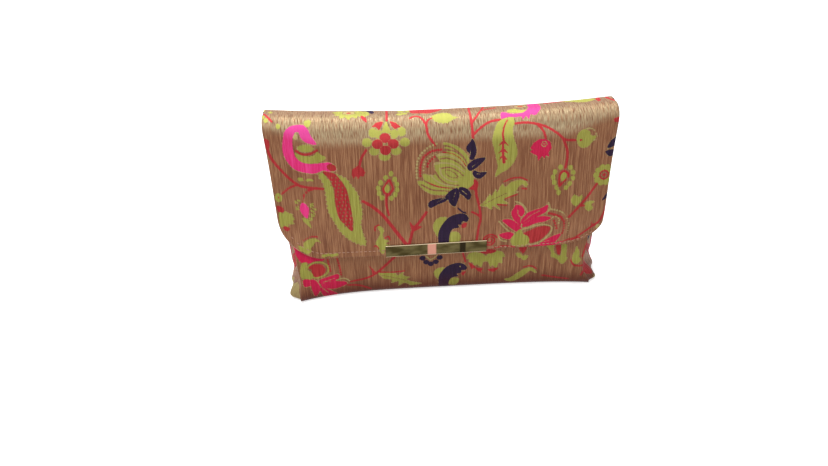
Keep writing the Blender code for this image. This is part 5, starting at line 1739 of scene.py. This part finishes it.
def add_lamp(name, place, aim, size, power, colour=(1.0, 1.0, 1.0)):
    lamp = bpy.data.lights.new(name, "AREA")
    lamp.shape = "DISK"
    lamp.size = size
    lamp.energy = power
    lamp.color = colour
    holder = bpy.data.objects.new(name, lamp)
    bpy.context.scene.collection.objects.link(holder)
    holder.location = place
    holder.rotation_euler = (Vector(aim) - Vector(place)).to_track_quat("-Z", "Y").to_euler()


CAMERA_TURN = -3.03
CAMERA_RISE = 30.0
CAMERA_DISTANCE = 0.52338
CAMERA_AIM = (-0.02191, 0.0, 0.04457)
CAMERA_ROLL = -1.26
FOCAL_PIXELS = 640.0
FRAME_PIXELS = 828.0


def build_camera():
    turn, rise, roll = (math.radians(a) for a in (CAMERA_TURN, CAMERA_RISE, CAMERA_ROLL))
    back = Vector((math.sin(turn) * math.cos(rise), -math.cos(turn) * math.cos(rise), math.sin(rise)))
    right = (-back).cross(Vector((0.0, 0.0, 1.0))).normalized()
    up = right.cross(-back)
    rolled = math.cos(roll) * right + math.sin(roll) * up
    upright = back.cross(rolled)
    camera = bpy.data.cameras.new("camera")
    camera.sensor_width = 36.0
    camera.lens = FOCAL_PIXELS * camera.sensor_width / FRAME_PIXELS
    camera.clip_start = 0.01
    holder = bpy.data.objects.new("camera", camera)
    bpy.context.scene.collection.objects.link(holder)
    turned = Matrix((rolled, upright, back)).transposed().to_4x4()
    holder.matrix_world = Matrix.Translation(Vector(CAMERA_AIM) + back * CAMERA_DISTANCE) @ turned
    bpy.context.scene.camera = holder


def main():
    cloth = brocade()
    lining = satin("lining satin", (0.42, 0.24, 0.12), (0.30, 0.16, 0.08))
    bar_metal = mirror_bar()
    screw_metal = polished_metal("bar screws", (0.70, 0.58, 0.30), (0.55, 0.44, 0.22), 0.22)
    snap_metal = polished_metal("snap brass", (0.72, 0.60, 0.36), (0.55, 0.45, 0.25), 0.24)
    magnet = plain_fibre("magnet", (0.10, 0.10, 0.11), (0.05, 0.05, 0.055), 0.5, 900.0)
    card = plain_fibre("grey card", (0.44, 0.40, 0.35), (0.32, 0.29, 0.25), 0.9, 700.0)
    felt = plain_fibre("wadding felt", (0.80, 0.78, 0.72), (0.62, 0.60, 0.55), 0.95, 1100.0)
    thread = plain_fibre("sewing thread", (0.50, 0.28, 0.19), (0.38, 0.19, 0.12), 0.6, 2500.0)

    flap_cover = build_flap_cover(cloth)
    body_cover, back_fold_cover = build_body_cover(cloth)
    body_inside, back_fold_inside = build_body_lining(lining)
    flap_inside = build_flap_lining(lining)
    for piece in (body_cover, body_inside):
        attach(piece, "body")
    for piece in (back_fold_cover, back_fold_inside):
        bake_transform(piece)
    for piece in (flap_cover, flap_inside):
        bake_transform(piece)
    for word, side in (("left", -1), ("right", 1)):
        build_gusset(word, side, cloth, lining)
    build_bar(bar_metal)
    build_stitching(thread)

    for name in ("front_board", "back_board", "base_board", "flap_board"):
        finish_node(name, card)
    finish_node("spine_wadding", felt)
    for name in (
        "snap_socket_plate", "snap_socket_case", "snap_socket_washer", "snap_stud", "snap_stud_washer"
    ):
        finish_node(name, snap_metal)
    finish_node("snap_magnet", magnet)
    for name in ("left_bar_screw", "right_bar_screw"):
        finish_node(name, screw_metal)

    build_floor()
    build_world()
    add_lamp("overhead", (-0.15, 0.25, 1.0), (0.0, 0.0, 0.10), 0.55, 8.5, (1.0, 0.98, 0.95))
    add_lamp("front", (-0.35, -0.60, 1.05), (0.0, 0.0, 0.08), 0.45, 5.5)
    build_camera()

    scene = bpy.context.scene
    scene.view_settings.view_transform = "Standard"
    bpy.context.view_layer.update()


main()
